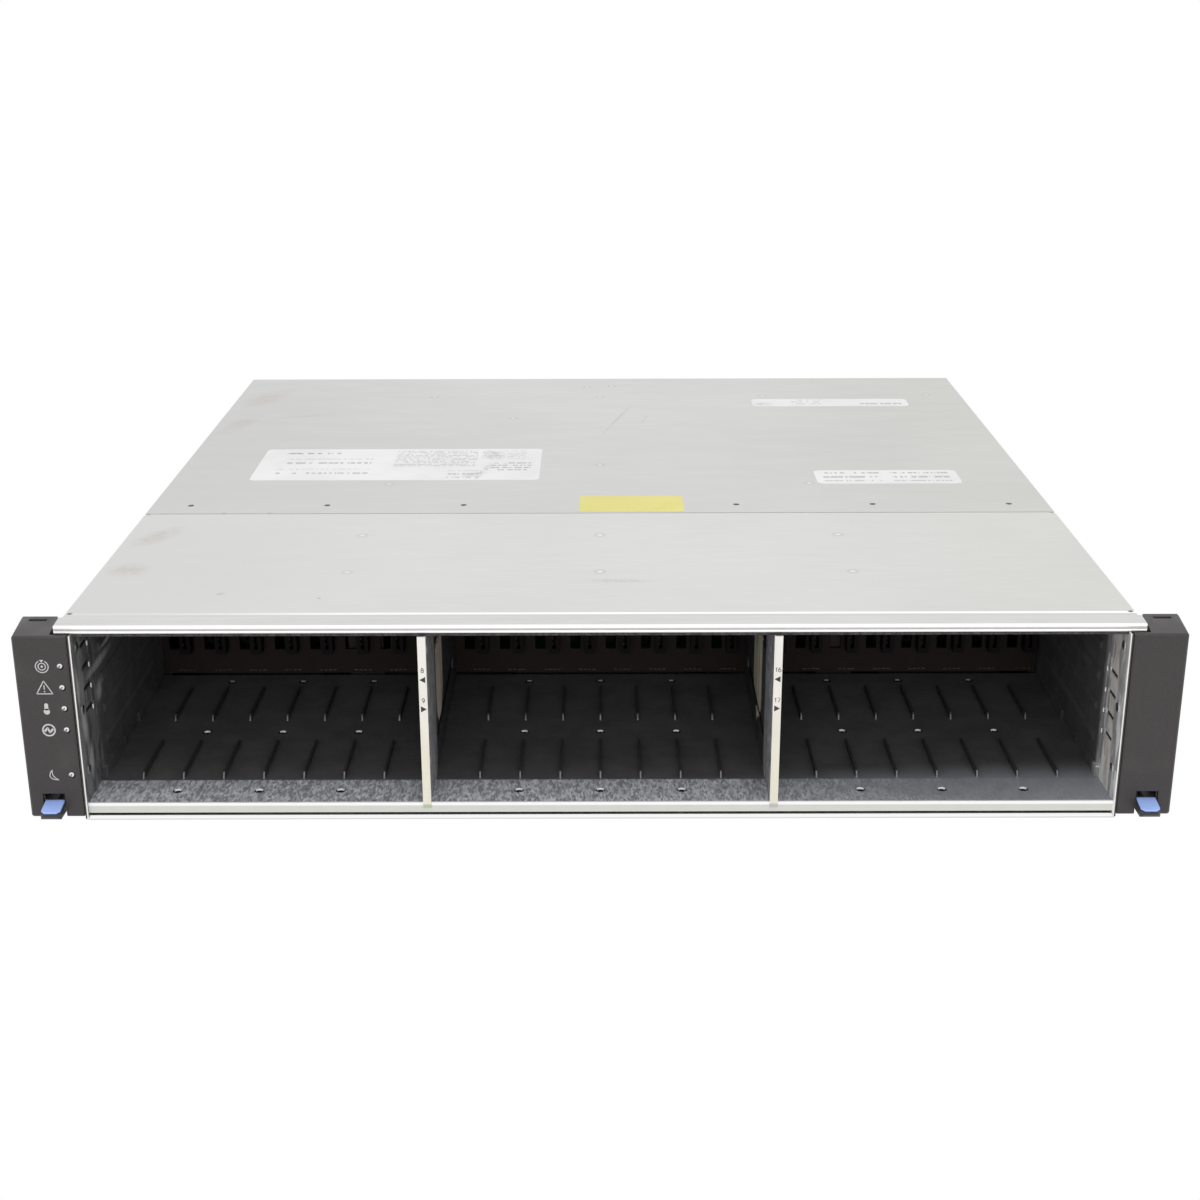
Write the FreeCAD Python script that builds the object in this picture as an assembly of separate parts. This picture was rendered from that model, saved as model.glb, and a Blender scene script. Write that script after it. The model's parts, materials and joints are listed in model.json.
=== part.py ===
"""Disk shelf enclosure: a 2U, 24-bay rack chassis for upright 2.5 inch drives.

Millimetres. X runs across the shelf (right when seen from the front), Y from the
front to the rear, Z up. The origin is the middle of the flat base.
Every function returns one named piece, or one set of identical pieces.
"""
import FreeCAD, Part
import math
import os

V = FreeCAD.Vector

# ---------------------------------------------------------------- driving sizes
# Envelope
rack_width = 482.6          # across the mounting ears, standard 19 inch rack
ear_reach = 19.9            # mounting ear beyond the shell's side
shell_width = rack_width - 2 * ear_reach
shell_height = 86.4
ear_front_y = -227.0        # front face of the end caps
shell_rear_y = 227.0
sheet = 1.2                 # shell, covers, cage walls
thin_sheet = 1.0            # cage floor and ceiling, module cases
bend_radius = 1.4

# Clearances
slide_gap = 0.7             # beside and above a module in its bay
seat_gap = 0.3              # under a module
body_gap = 0.3              # between a swinging piece and its neighbour
pin_end_gap = 0.2           # past a pin's end, in a closed hole
pin_gap = 0.05              # radial, hinge pins in their holes
pin_sides = 12
tiny = 0.01                 # tolerance when edges are picked by place

# Front opening
lip_setback = 2.2           # lower lip behind the end-cap faces
rail_setback = 3.0
rail_depth = 11.4
rail_height = 3.1
rail_slot = 0.6
rail_groove = 1.0           # depth of the line between the rail's beads
rail_overhang = 1.6
hem_height = 2.1            # folded front edge of the shell base
floor_top = 7.5
floor_lip_top = 7.8
floor_lip_bottom = 3.3
ceiling_drop = 4.3          # underside of the ceiling below the shell top
cage_inset = 6.2            # cage walls' inner faces inside the shell's sides
cage_half_width = shell_width / 2 - cage_inset
cage_wall_setback = 0.8

# Drive bays
sections = 3
bay_pitch = 17.35
bay_end_gap = 0.35          # between the outermost bays and the cage walls
divider_width = 3.5
bays_per_section = int((2 * cage_half_width - (sections - 1) * divider_width) / sections / bay_pitch)
section_pitch = cage_half_width - bay_end_gap - bays_per_section * bay_pitch / 2
divider_sheet = 0.8
guide_width = 0.9
guide_height = 3.0
guide_drop = 0.9            # how much lower a guide is at its rear end
guide_length = 37.0
guide_lead = 1.2            # run of the ramp at a guide's front
guide_rows = (26.2, 89.0)   # behind the end-cap face
floor_hole_radius = 1.8
floor_hole_rows = (14.3, 75.5, 136.3)
strip_thickness = 0.5
strip_width = 3.4
strip_bottom = 5.4

# Cage walls
side_guide = (1.4, 4.5)     # how far in from the wall, and how tall
rib_radius = 3.0
rib_height = 1.2
rib_zs = (22.0, 36.0, 50.0, 64.0)
rib_start = 38.0
rib_length = 88.0
louvre_length = 10.5
louvre_height = 2.0
louvre_pitch = 9.5
louvre_setback = 13.0
louvre_z = {"left": 45.0, "right": 30.6}
louvres = 4

# Midplane
midplane_setback = 147.0    # front of the board behind the end-cap faces
midplane_thickness = 2.4
midplane_bottom = 8.2
midplane_margin = 1.6       # between the board's ends and the cage walls
carrier_sheet = 1.2
drive_connector = (5.2, 8.0, 43.0)
drive_connector_offset = 3.5
drive_connector_bottom = 21.0
drive_slot = (1.8, 38.0, 5.0)
air_slot = (5.0, 44.0)
module_connector_depth = 11.4
module_connector_height = 12.0
module_connector_ends = 8.0
carrier_frame = 8.0         # width of the bulkhead's uprights
carrier_sill = 3.4
tongue_clearance = 0.4

# Top covers
seam_setback = 159.6
seam_gap = 0.6
cover_flange = 8.0
cover_seat = 0.6            # partitions stop this far inside the rear edge
cover_hem = 3.0
cover_hole_radius = 1.6
cover_hole_pitch = 67.4
cover_hole_setback = 14.5   # behind the seam
corner_notch = (3.2, 2.2)

# Fasteners: radius and height of the heads
screw_head = (2.8, 0.7)
ear_rivet_head = (3.0, 0.9)
cage_rivet_head = (2.0, 0.6)
side_screw_insets = (2.0, 25.0, 45.0, 60.0)   # behind the ear, each side of the seam, from the rear
head_sides = 7
head_taper = 0.62
rivet_margin = 18.0         # outer rivets from the shell's top and bottom
cage_rivet_margins = (20.3, 10.9)   # lowest and highest cage rivets from the shell's bottom and top
cage_rivet_offset = 4.4     # middle cage rivet above half height
cage_rivet_setback = 8.7

# Rack ears
ear_sheet = 1.6
ear_depth = 24.0            # end-cap face to the rack mounting plane
ear_side_leg = 33.0
ear_leg_bottom = 11.0
rack_hole_inset = 8.75      # slot centres inside the ear's outer edge
rack_hole_pitch = 44.45
rack_slot_width = 6.8
rack_slot_length = 10.0
hook_width = 5.8
hook_thickness = 1.0
hook_from_edge = 8.2        # hook centre inside the ear's outer edge
hook_rise = 3.4
hook_arm = 1.2              # thickness of the tongue that carries the hook
hook_sink = 1.0             # hook's top below the cap's top

# End caps
cap_side_gap = 0.3          # between a cap and the cage wall
cap_bottom = 2.5
cap_drop = 2.9              # cap's top below the shell's top
cap_front_wall = 2.0
cap_wall = 1.6
cap_taper = 2.6             # outer side, narrower at the front
cap_wing = 7.0
cap_inner_taper = 2.5
cap_edge = 0.7
hook_slot = (7.4, 2.4)
hook_setback = 19.2
pipe_radius = 1.5
pipe_from_inner = 3.3
pipe_drops = (13.1, 22.5, 31.8, 41.3, 61.7)   # below the cap's top
pipe_length = 8.0
pipe_stand_out = 0.3
pipe_sides = 10
lamp_size = (2.4, 1.8, 0.8)
led_board_width = 6.0

# Cap latches
latch_width = 8.5
latch_arm_width = 4.6
latch_from_edge = 12.8      # tab's centre inside the ear's outer edge
latch_arm_shift = 2.0       # arm's and pin's centre outside the tab's
latch_reach = 8.0           # in front of the cap
latch_corner = 1.5
latch_setback = 13.0        # pivot behind the cap face
latch_pin_radius = 1.5
latch_pin_reach = 5.0
latch_play = 0.35           # beside the latch's arm, between its lugs
lug_half_depth = 3.0
latch_pivot_z = 7.4
latch_tip_z = 7.4
latch_slope = 0.17
latch_pad_height = 0.9
latch_pad_margin = 0.2
latch_ground = 2.1          # tab's underside above the cap's
latch_hook = 1.2            # catch reaches this far behind the ear
latch_catch_gap = 0.4
latch_arm_thickness = 2.4
latch_window = (9.3, 10.8)

# Modules at the rear
power_width = 101.3
power_side_gap = 2.0        # between a power module and the shell's side
shelf_thickness = 1.2
module_front_setback = 165.0
face_thickness = 1.2
face_recess = 0.6           # inner side of a module face inside the shell's rear edge
tongue_reach = 8.0

# Fans
fan_size = 40.0
fan_depth = 28.0
fan_bore = 18.8
fan_pitch = 41.0
rotor_tip = 15.8
rotor_hub = 8.6
blades = 5
blade_twist = 38.0
blade_thickness = 1.2
grille_hole = 4.2           # half the width across the flats
grille_pitch = 9.6
grille_rings = 1            # rows of holes on each side of the middle row
grille_row = 4              # holes in the middle row
rotor_end_gap = 1.5
rotor_wash = 1.35           # blades twist this much more at their tips
strut = 2.4

# Cam levers
lever_thickness = 5.0
lever_pin_radius = 2.0
power_lever = {"length": 62.0, "bow": 17.0, "width": 11.4, "standoff": 14.0, "rise": 10.0}
io_lever = {"length": 68.0, "bow": 10.0, "width": 10.0, "standoff": 8.0, "rise": 29.0}
lug_thickness = 1.4
lug_radius = 4.6

# ---------------------------------------------------------------- derived places
half_shell = shell_width / 2
half_rack = rack_width / 2
side_inner = half_shell - sheet
cover_bottom = shell_height - sheet
lip_y = ear_front_y + lip_setback
rail_y = ear_front_y + rail_setback
rail_bottom = shell_height - rail_height
ceiling_bottom = shell_height - ceiling_drop
ceiling_top = ceiling_bottom + thin_sheet
ear_plane_y = ear_front_y + ear_depth
cage_wall_y = ear_front_y + cage_wall_setback
midplane_y = ear_front_y + midplane_setback
midplane_back_y = midplane_y + midplane_thickness
carrier_back_y = midplane_back_y + carrier_sheet
cage_rear_y = midplane_y - sheet
seam_y = ear_front_y + seam_setback
divider_xs = [section_pitch * (i - (sections - 2) / 2) for i in range(sections - 1)]
section_xs = [section_pitch * (i - (sections - 1) / 2) for i in range(sections)]
cap_inner = cage_half_width + sheet + cap_side_gap
cap_top = shell_height - cap_drop
cap_rear_y = ear_plane_y - body_gap - 0.1
rack_hole_spacing = rack_width - 2 * rack_hole_inset
pipe_zs = [cap_top - drop for drop in pipe_drops]
cage_rivet_zs = (cage_rivet_margins[0], shell_height / 2 + cage_rivet_offset,
                 shell_height - cage_rivet_margins[1])
hook_y = ear_front_y + hook_setback
hook_x = half_rack - hook_from_edge
latch_x = half_rack - latch_from_edge
arm_x = latch_x + latch_arm_shift
cage_rivet_y = ear_front_y + cage_rivet_setback
latch_y = ear_front_y + latch_setback

module_bottom = sheet + seat_gap
module_top = cover_bottom - thin_sheet - slide_gap
io_height = (module_top - module_bottom - shelf_thickness - slide_gap - seat_gap) / 2
shelf_z = module_bottom + io_height + slide_gap
io_bottoms = {"lower": module_bottom, "upper": module_top - io_height}
wall_from_center = side_inner - power_side_gap - power_width - slide_gap - sheet
io_half = wall_from_center - slide_gap
partition_outer = wall_from_center + sheet
power_inner = partition_outer + slide_gap
power_x = power_inner + power_width / 2
module_front_y = ear_front_y + module_front_setback
face_inner_y = shell_rear_y - face_recess
face_outer_y = face_inner_y + face_thickness
tongue_y = module_front_y - tongue_reach


# ---------------------------------------------------------------- helpers
def block(x0, x1, y0, y1, z0, z1):
    """A box given by its faces."""
    return Part.makeBox(x1 - x0, y1 - y0, z1 - z0, V(x0, y0, z0))


def plate(cx, cz, width, height, y0, y1):
    """A box centred on cx, cz in the X-Z plane."""
    return block(cx - width / 2, cx + width / 2, y0, y1, cz - height / 2, cz + height / 2)


def rod(radius, start, end):
    """A cylinder between two points."""
    return Part.makeCylinder(radius, (end - start).Length, start, end - start)


def prism(points, direction):
    """A closed polygon swept along a vector."""
    wire = Part.makePolygon([V(*p) for p in points] + [V(*points[0])])
    return Part.Face(wire).extrude(direction)


def join(pieces):
    """Pieces of one part fused, with the seams between flat faces removed."""
    pieces = list(pieces)
    return pieces[0].fuse(pieces[1:]).removeSplitter() if len(pieces) > 1 else pieces[0]


def carve(body, tools):
    """A body with a list of tools cut out of it."""
    return body.cut(list(tools))


def mirrored(shape):
    """The left-hand twin of a right-hand piece."""
    return shape.mirror(V(0, 0, 0), V(1, 0, 0))


def handed(build):
    """A pair of mirror-image pieces, right and left."""
    right = build()
    return {"right": right, "left": mirrored(right)}


def round_edges(shape, radius, wanted):
    """Fillet the edges that a test picks out."""
    edges = [e for e in shape.Edges if wanted(e)]
    return shape.makeFillet(radius, edges) if edges else shape


def runs_along(edge, axis):
    """True for a straight edge parallel to an axis."""
    ends = edge.Vertexes
    if len(ends) != 2:
        return False
    span = ends[1].Point - ends[0].Point
    return abs(abs(span.dot(axis)) - span.Length) < 1e-6 and span.Length > 1e-6


def facetted(radius, start, end, tip_radius=None, sides=8):
    """A many-sided column between two points, for repeated rounds; corners lie on the radius."""
    axis = end - start
    turn = FreeCAD.Rotation(V(0, 0, 1), axis)
    rings = []
    for center, r in ((start, radius), (end, radius if tip_radius is None else tip_radius)):
        ring = [center + turn.multVec(V(r * math.cos(a), r * math.sin(a), 0))
                for a in (2 * math.pi * (i + 0.5) / sides for i in range(sides))]
        rings.append(Part.makePolygon(ring + [ring[0]]))
    return Part.makeLoft(rings, True, True)


def pin(radius, start, end):
    """A hinge pin, drawn with few sides because there are many of them."""
    return facetted(radius, start, end, sides=pin_sides)


def pin_bore(radius, start, end):
    """The hole round a hinge pin: its flats clear the pin's corners by the running gap."""
    return facetted((radius + pin_gap) / math.cos(math.pi / pin_sides), start, end, sides=pin_sides)


def button_head(start, direction, radius, height):
    """Head of a rivet or screw standing on a face."""
    return facetted(radius, start, start + direction * height, tip_radius=radius * head_taper,
                    sides=head_sides)


# ---------------------------------------------------------------- shell and covers
def side_screw_places():
    """Y of the screws that hold each top cover to the shell's sides."""
    behind_ear, before_seam, behind_seam, before_rear = side_screw_insets
    return (ear_plane_y + ear_side_leg + behind_ear, seam_y - before_seam, seam_y + behind_seam,
            shell_rear_y - before_rear)


screw_z = cover_bottom - cover_flange / 2


def rivet_zs():
    """Heights of the rivets in the ears' side legs."""
    return (rivet_margin, shell_height / 2, shell_height - rivet_margin)


rivet_y = ear_plane_y + ear_sheet + ear_side_leg - 10.0


def chassis_shell():
    """One folded sheet: base and two sides, with a hem along the front of the base."""
    outer = block(-half_shell, half_shell, lip_y, shell_rear_y, 0, cover_bottom)
    inner = block(-side_inner, side_inner, lip_y - 1, shell_rear_y + 1, sheet, cover_bottom + 1)
    along_y = V(0, 1, 0)
    outer = round_edges(outer, bend_radius + sheet,
                        lambda e: runs_along(e, along_y) and e.BoundBox.ZMax < tiny)
    inner = round_edges(inner, bend_radius,
                        lambda e: runs_along(e, along_y) and e.BoundBox.ZMax < sheet + tiny)
    folded = outer.cut(inner)
    cage_outer = cage_half_width + sheet
    corners = [block(min(s * cage_outer, s * rack_width), max(s * cage_outer, s * rack_width),
                     lip_y - 1, ear_plane_y, -1, shell_height) for s in (-1, 1)]
    folded = carve(folded, corners)
    hem = block(-cage_half_width, cage_half_width, lip_y, lip_y + sheet, sheet, hem_height)
    return join([folded, hem])


def cover_sheet(y0, y1, flange_start):
    """A top sheet with side flanges that tuck inside the shell."""
    top = block(-half_shell, half_shell, y0, y1, cover_bottom, shell_height)
    flange = block(side_inner - sheet, side_inner, flange_start, y1 - sheet,
                   cover_bottom - cover_flange, cover_bottom)
    return join([top, flange, mirrored(flange)])


def front_top_panel():
    """Fixed cover over the drive cage, notched at its rear corners."""
    panel = cover_sheet(rail_y + rail_depth, seam_y, ear_plane_y + sheet)
    width, depth = corner_notch
    x = half_shell
    notch = prism([(x - width, seam_y, cover_bottom - 1), (x, seam_y, cover_bottom - 1),
                   (x, seam_y - depth, cover_bottom - 1)], V(0, 0, sheet + 2))
    return carve(panel, [notch, mirrored(notch)])


def rear_top_cover():
    """Cover over the module bays, hemmed at the rear, with a row of round holes."""
    front = seam_y + seam_gap
    cover = cover_sheet(front, shell_rear_y, front)
    hem = block(-side_inner + sheet, side_inner - sheet, shell_rear_y - cover_hem, shell_rear_y,
                cover_bottom - thin_sheet, cover_bottom)
    cover = join([cover, hem])
    hole_y = seam_y + cover_hole_setback
    xs = [s * i * cover_hole_pitch for s in (-1, 1) for i in (1, 2, 3)]
    return carve(cover, [facetted(cover_hole_radius, V(x, hole_y, cover_bottom - 1),
                                  V(x, hole_y, shell_height + 1)) for x in xs])


def top_front_rail():
    """Rolled channel with two beads in front, open to the back, over the opening."""
    reach = half_shell + rail_overhang
    leg = (rail_height - rail_slot) / 2
    back = rail_y + rail_depth
    corner = leg * 0.7
    bevel = leg / 4
    beads = []
    for z in (rail_bottom, shell_height - leg):
        profile = [(-reach, rail_y + bevel, z), (-reach, back, z), (-reach, back, z + leg),
                   (-reach, rail_y + bevel, z + leg), (-reach, rail_y, z + leg - bevel),
                   (-reach, rail_y, z + bevel)]
        beads.append(prism(profile, V(2 * reach, 0, 0)))
    web = block(-reach, reach, rail_y + rail_groove, rail_y + rail_groove + sheet,
                rail_bottom, shell_height)
    tip = prism([(reach, rail_y, 0), (reach, rail_y + corner, 0), (reach - corner, rail_y, 0)],
                V(0, 0, 2 * shell_height))
    return carve(join(beads + [web]), [tip, mirrored(tip)])


def cover_screws():
    """Screws through the shell's sides into the covers' flanges."""
    heads = []
    for s in (-1, 1):
        for y in side_screw_places():
            heads.append(button_head(V(s * half_shell, y, screw_z), V(s, 0, 0), *screw_head))
    return Part.makeCompound(heads)


# ---------------------------------------------------------------- drive cage
def guide(x, y, z, up):
    """One lanced drive guide: a fin, highest just behind its front, rising from z or hanging."""
    left = x - guide_width / 2
    profile = [(left, y, z), (left, y + guide_lead, z + up * guide_height),
               (left, y + guide_length, z + up * (guide_height - guide_drop)),
               (left, y + guide_length, z)]
    return prism(profile, V(guide_width, 0, 0))


def guide_field(z, up):
    """All guides on one side of the bays: between the bays, in two rows."""
    fins = []
    for center in section_xs:
        for i in range(1, bays_per_section):
            x = center + (i - bays_per_section / 2) * bay_pitch
            for row in guide_rows:
                fins.append(guide(x, ear_front_y + row, z, up))
    return fins


def cage_plate(z0, z1, front_y):
    """The plain sheet between the cage walls."""
    return block(-cage_half_width, cage_half_width, front_y, cage_rear_y, z0, z1)


def drive_cage_floor():
    """Sheet the drives slide on: front lip, guides and round drain holes."""
    sheet_z = floor_top - thin_sheet
    floor = cage_plate(sheet_z, floor_top, lip_y)
    lip = block(-cage_half_width, cage_half_width, lip_y, lip_y + thin_sheet,
                floor_lip_bottom, floor_lip_top)
    holes = []
    for center in section_xs:
        for i in (-1, 0, 1):
            x = center + i * 2 * bay_pitch
            for row in floor_hole_rows:
                y = ear_front_y + row
                holes.append(facetted(floor_hole_radius, V(x, y, sheet_z - 1),
                                      V(x, y, floor_top + 1)))
    return carve(join([floor, lip] + guide_field(floor_top, 1)), holes)


def drive_cage_ceiling():
    """The floor's counterpart overhead, with guides hanging down."""
    ceiling = cage_plate(ceiling_bottom, ceiling_top, rail_y + sheet / 2)
    return join([ceiling] + guide_field(ceiling_bottom, -1))


def cage_wall(side):
    """Side wall of the cage: ribs, lanced side guides and front louvres. Right-hand."""
    x0, x1 = cage_half_width, cage_half_width + sheet
    wall = block(x0, x1, cage_wall_y, cage_rear_y, sheet, ceiling_top)
    ribs = []
    y0 = ear_front_y + rib_start
    sink = rib_radius - rib_height
    for z in rib_zs:
        bead = facetted(rib_radius, V(x0 + sink, y0, z), V(x0 + sink, y0 + rib_length, z), sides=12)
        ribs.append(bead.cut(block(x0 + sheet / 2, x0 + rib_radius * 2, y0 - 1,
                                   y0 + rib_length + 1, z - rib_radius, z + rib_radius)))
    side_guides = [block(x0 - side_guide[0], x0, ear_front_y + row,
                         ear_front_y + row + guide_length, floor_top, floor_top + side_guide[1])
                   for row in guide_rows]
    wall = join([wall] + ribs + side_guides)
    cutters = []
    y1 = ear_front_y + louvre_setback
    for i in range(louvres):
        z = louvre_z[side] + i * louvre_pitch
        cutters.append(block(x0 - 1, x1 + 1, y1, y1 + louvre_length,
                             z - louvre_height / 2, z + louvre_height / 2))
    return carve(wall, cutters)


def chassis_rivets():
    """Rivets in the ears' side legs and at the front of the cage walls."""
    heads = []
    for s in (-1, 1):
        for z in rivet_zs():
            heads.append(button_head(V(s * (half_shell + ear_sheet), rivet_y, z), V(s, 0, 0),
                                     *ear_rivet_head))
        for z in cage_rivet_zs:
            heads.append(button_head(V(s * cage_half_width, cage_rivet_y, z), V(-s, 0, 0),
                                     *cage_rivet_head))
    return Part.makeCompound(heads)


def bay_divider(x):
    """Folded channel, closed at the front, that parts two sections of bays."""
    half = divider_width / 2
    outer = block(x - half, x + half, lip_y, cage_rear_y, floor_top, ceiling_bottom)
    outer = outer.cut(block(x - half - 1, x + half + 1, lip_y - 1, lip_y + thin_sheet,
                            floor_top - 1, floor_lip_top))
    inner = block(x - half + divider_sheet, x + half - divider_sheet, lip_y + divider_sheet,
                  cage_rear_y + 1, floor_top - 1, ceiling_bottom + 1)
    channel = outer.cut(inner)
    holes = []
    y = ear_front_y + rib_start
    for z in (rib_zs[0], rib_zs[-1]):
        holes.append(block(x - half - 1, x + half + 1, y, y + rib_length,
                           z - rib_radius, z + rib_radius))
    return carve(channel, holes)


def divider_strip(x):
    """Printed number strip stuck to the front of a divider, its foot over the lip."""
    half = strip_width / 2
    return block(x - half, x + half, lip_y - strip_thickness, lip_y, strip_bottom, ceiling_bottom)


# ---------------------------------------------------------------- midplane
def bay_xs():
    """Centre of every drive bay."""
    return [c + (i - (bays_per_section - 1) / 2) * bay_pitch
            for c in section_xs for i in range(bays_per_section)]


def midplane_board():
    """Circuit board across the shelf, with an air slot beside each drive connector."""
    half = cage_half_width - midplane_margin
    board = block(-half, half, midplane_y, midplane_back_y,
                  midplane_bottom, ceiling_bottom)
    width, height = air_slot
    z = drive_connector_bottom + drive_connector[2] / 2
    return carve(board, [plate(x - drive_connector_offset, z, width, height,
                               midplane_y - 1, midplane_back_y + 1) for x in bay_xs()])


def drive_connectors():
    """One upright socket per bay, each with the slot a drive's edge enters."""
    width, depth, height = drive_connector
    z = drive_connector_bottom + height / 2
    sockets = []
    for bay in bay_xs():
        x = bay + drive_connector_offset
        front = midplane_y - depth
        socket = plate(x, z, width, height, front, midplane_y)
        sockets.append(socket.cut(plate(x, z, drive_slot[0], drive_slot[1], front - 1,
                                        front + drive_slot[2])))
    return Part.makeCompound(sockets)


power_tongue_z = 12.0
io_tongue_rise = 8.2
board_thickness = 1.6
post_radius = 3.0
power_tongue_width = 52.0
io_tongue_width = 76.0


def connector_places():
    """Centre and tongue width of each rear connector of the midplane."""
    places = [(s * power_x, power_tongue_z, power_tongue_width) for s in (-1, 1)]
    return places + [(0, z + io_tongue_rise, io_tongue_width) for z in io_bottoms.values()]


def module_connectors():
    """Sockets on the back of the midplane that the modules' tongues enter."""
    sockets = []
    for x, z, width in connector_places():
        body = plate(x, z, width + module_connector_ends, module_connector_height, midplane_back_y,
                     midplane_back_y + module_connector_depth)
        slot = plate(x, z, width + 2 * tongue_clearance, board_thickness + 2 * tongue_clearance,
                     tongue_y - 1, midplane_back_y + module_connector_depth + 1)
        sockets.append(body.cut(slot))
    return Part.makeCompound(sockets)


def midplane_carrier():
    """Pierced steel bulkhead behind the midplane, from side to side of the shell."""
    bulkhead = block(-side_inner, side_inner, midplane_back_y, carrier_back_y, sheet, cover_bottom)
    low, high = carrier_sill, cover_bottom - cover_flange - 2
    half = wall_from_center - carrier_frame
    windows = [block(-half, half, midplane_back_y - 1, carrier_back_y + 1, low, high)]
    side_window = block(partition_outer + carrier_frame, side_inner - carrier_frame,
                        midplane_back_y - 1, carrier_back_y + 1, low, high)
    windows += [side_window, mirrored(side_window)]
    flange = block(side_inner - 2 * sheet, side_inner + 1, midplane_back_y - 1, carrier_back_y + 1,
                   cover_bottom - cover_flange - body_gap, cover_bottom + 1)
    corner = block(side_inner - bend_radius, side_inner + 1, midplane_back_y - 1,
                   carrier_back_y + 1, 0, sheet + bend_radius)
    return carve(bulkhead, windows + [flange, mirrored(flange), corner, mirrored(corner)])


# ---------------------------------------------------------------- rear bays
def module_wall():
    """Partition between a power bay and the middle bay. Right-hand."""
    rear = shell_rear_y - cover_seat
    wall = block(wall_from_center, partition_outer, carrier_back_y, rear,
                 sheet, cover_bottom - thin_sheet)
    head = block(wall_from_center, partition_outer, carrier_back_y, rear - cover_hem,
                 cover_bottom - thin_sheet, cover_bottom)
    return join([wall, head])


def module_shelf():
    """Sheet between the two stacked I/O bays."""
    return block(-wall_from_center, wall_from_center, carrier_back_y, shell_rear_y - 2,
                 shelf_z, shelf_z + shelf_thickness)


# ---------------------------------------------------------------- rack ears and end caps
def rack_flange():
    """Steel ear: front leg with rack slots and a hook, side leg on the shell. Right-hand."""
    back = ear_plane_y + ear_sheet
    hook_z = cap_top - cap_wall - body_gap
    leg_top = hook_z - hook_rise + hook_arm
    front = block(half_shell, half_rack, ear_plane_y, back, ear_leg_bottom, leg_top)
    side = block(half_shell, half_shell + ear_sheet, back, back + ear_side_leg,
                 ear_leg_bottom, leg_top - hook_rise)
    half = hook_width / 2
    arm = block(hook_x - half, hook_x + half, hook_y - hook_thickness / 2, ear_plane_y,
                leg_top - hook_arm, leg_top)
    upstand = block(hook_x - half, hook_x + half, hook_y - hook_thickness / 2,
                    hook_y + hook_thickness / 2, leg_top - hook_arm, cap_top - hook_sink)
    ear = join([front, side, arm, upstand])
    cutters = []
    for s in (-1, 1):
        z = shell_height / 2 + s * rack_hole_pitch / 2
        x = rack_hole_spacing / 2
        run = (rack_slot_length - rack_slot_width) / 2
        r = rack_slot_width / 2
        for end in (-run, run):
            cutters.append(rod(r, V(x + end, ear_plane_y - 1, z), V(x + end, back + 1, z)))
        cutters.append(block(x - run, x + run, ear_plane_y - 1, back + 1, z - r, z + r))
    return carve(ear, [join(cutters[:3]), join(cutters[3:])])


def end_cap():
    """Hollow moulded cap over an ear, open at the back. Right-hand."""
    front, rear = ear_front_y, cap_rear_y
    wing_back = front + cap_front_wall
    outer_front = half_rack - cap_taper
    root = cap_inner + cap_wing
    outline = [(cap_inner, front, cap_bottom), (outer_front, front, cap_bottom),
               (half_rack, rear, cap_bottom), (root + cap_inner_taper, rear, cap_bottom),
               (root, wing_back, cap_bottom), (cap_inner, wing_back, cap_bottom)]
    cap = prism(outline, V(0, 0, cap_top - cap_bottom))
    edges = [e for e in cap.Edges if e.BoundBox.YMax < front + tiny
             or (e.BoundBox.XMin > outer_front - 0.1 and e.BoundBox.DiagonalLength > ear_depth / 2)]
    cap = cap.makeChamfer(cap_edge, edges)
    t = cap_wall
    hollow = [(root + t, wing_back, cap_bottom + t), (outer_front - t, wing_back, cap_bottom + t),
              (half_rack - t, rear + 1, cap_bottom + t),
              (root + cap_inner_taper + t, rear + 1, cap_bottom + t)]
    cap = cap.cut(prism(hollow, V(0, 0, cap_top - cap_bottom - 2 * t)))
    slot_x, slot_y = hook_slot
    hook_cut = block(hook_x - slot_x / 2, hook_x + slot_x / 2, hook_y - slot_y / 2,
                     hook_y + slot_y / 2, cap_top - t - 1, cap_top + 1)
    window_w, window_h = latch_window
    window = block(latch_x - window_w / 2, latch_x + window_w / 2, front - 1, latch_y - lug_half_depth - 1,
                   cap_bottom - 1, cap_bottom + window_h)
    cap = carve(cap, [hook_cut, window])
    lugs = []
    for s in (-1, 1):
        inner = arm_x + s * (latch_arm_width / 2 + latch_play)
        outer = arm_x + s * latch_pin_reach
        lugs.append(block(min(inner, outer), max(inner, outer), latch_y - lug_half_depth,
                          latch_y + lug_half_depth, cap_bottom + t, latch_pivot_z + lug_half_depth))
    cap = join([cap] + lugs)
    reach = latch_pin_reach + pin_end_gap
    bore = pin_bore(latch_pin_radius, V(arm_x - reach, latch_y, latch_pivot_z),
                    V(arm_x + reach, latch_y, latch_pivot_z))
    return cap.cut(bore)


def left_end_cap():
    """The left cap, with a row of holes for the light pipes."""
    x = -(cap_inner + pipe_from_inner)
    holes = [facetted(pipe_radius, V(x, ear_front_y - 1, z),
                      V(x, ear_front_y + cap_front_wall + 1, z), sides=pipe_sides) for z in pipe_zs]
    return carve(mirrored(end_cap()), holes)


def upright_edges_before(shape, y):
    """The upright edges of a shape that lie in front of a given Y."""
    return [e for e in shape.Edges if runs_along(e, V(0, 0, 1)) and e.BoundBox.YMax < y]


def latch_top(y):
    """Height of the finger tab's sloping top at a given Y."""
    tip = ear_front_y - latch_reach
    return latch_tip_z + latch_slope * (y - tip)


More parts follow.
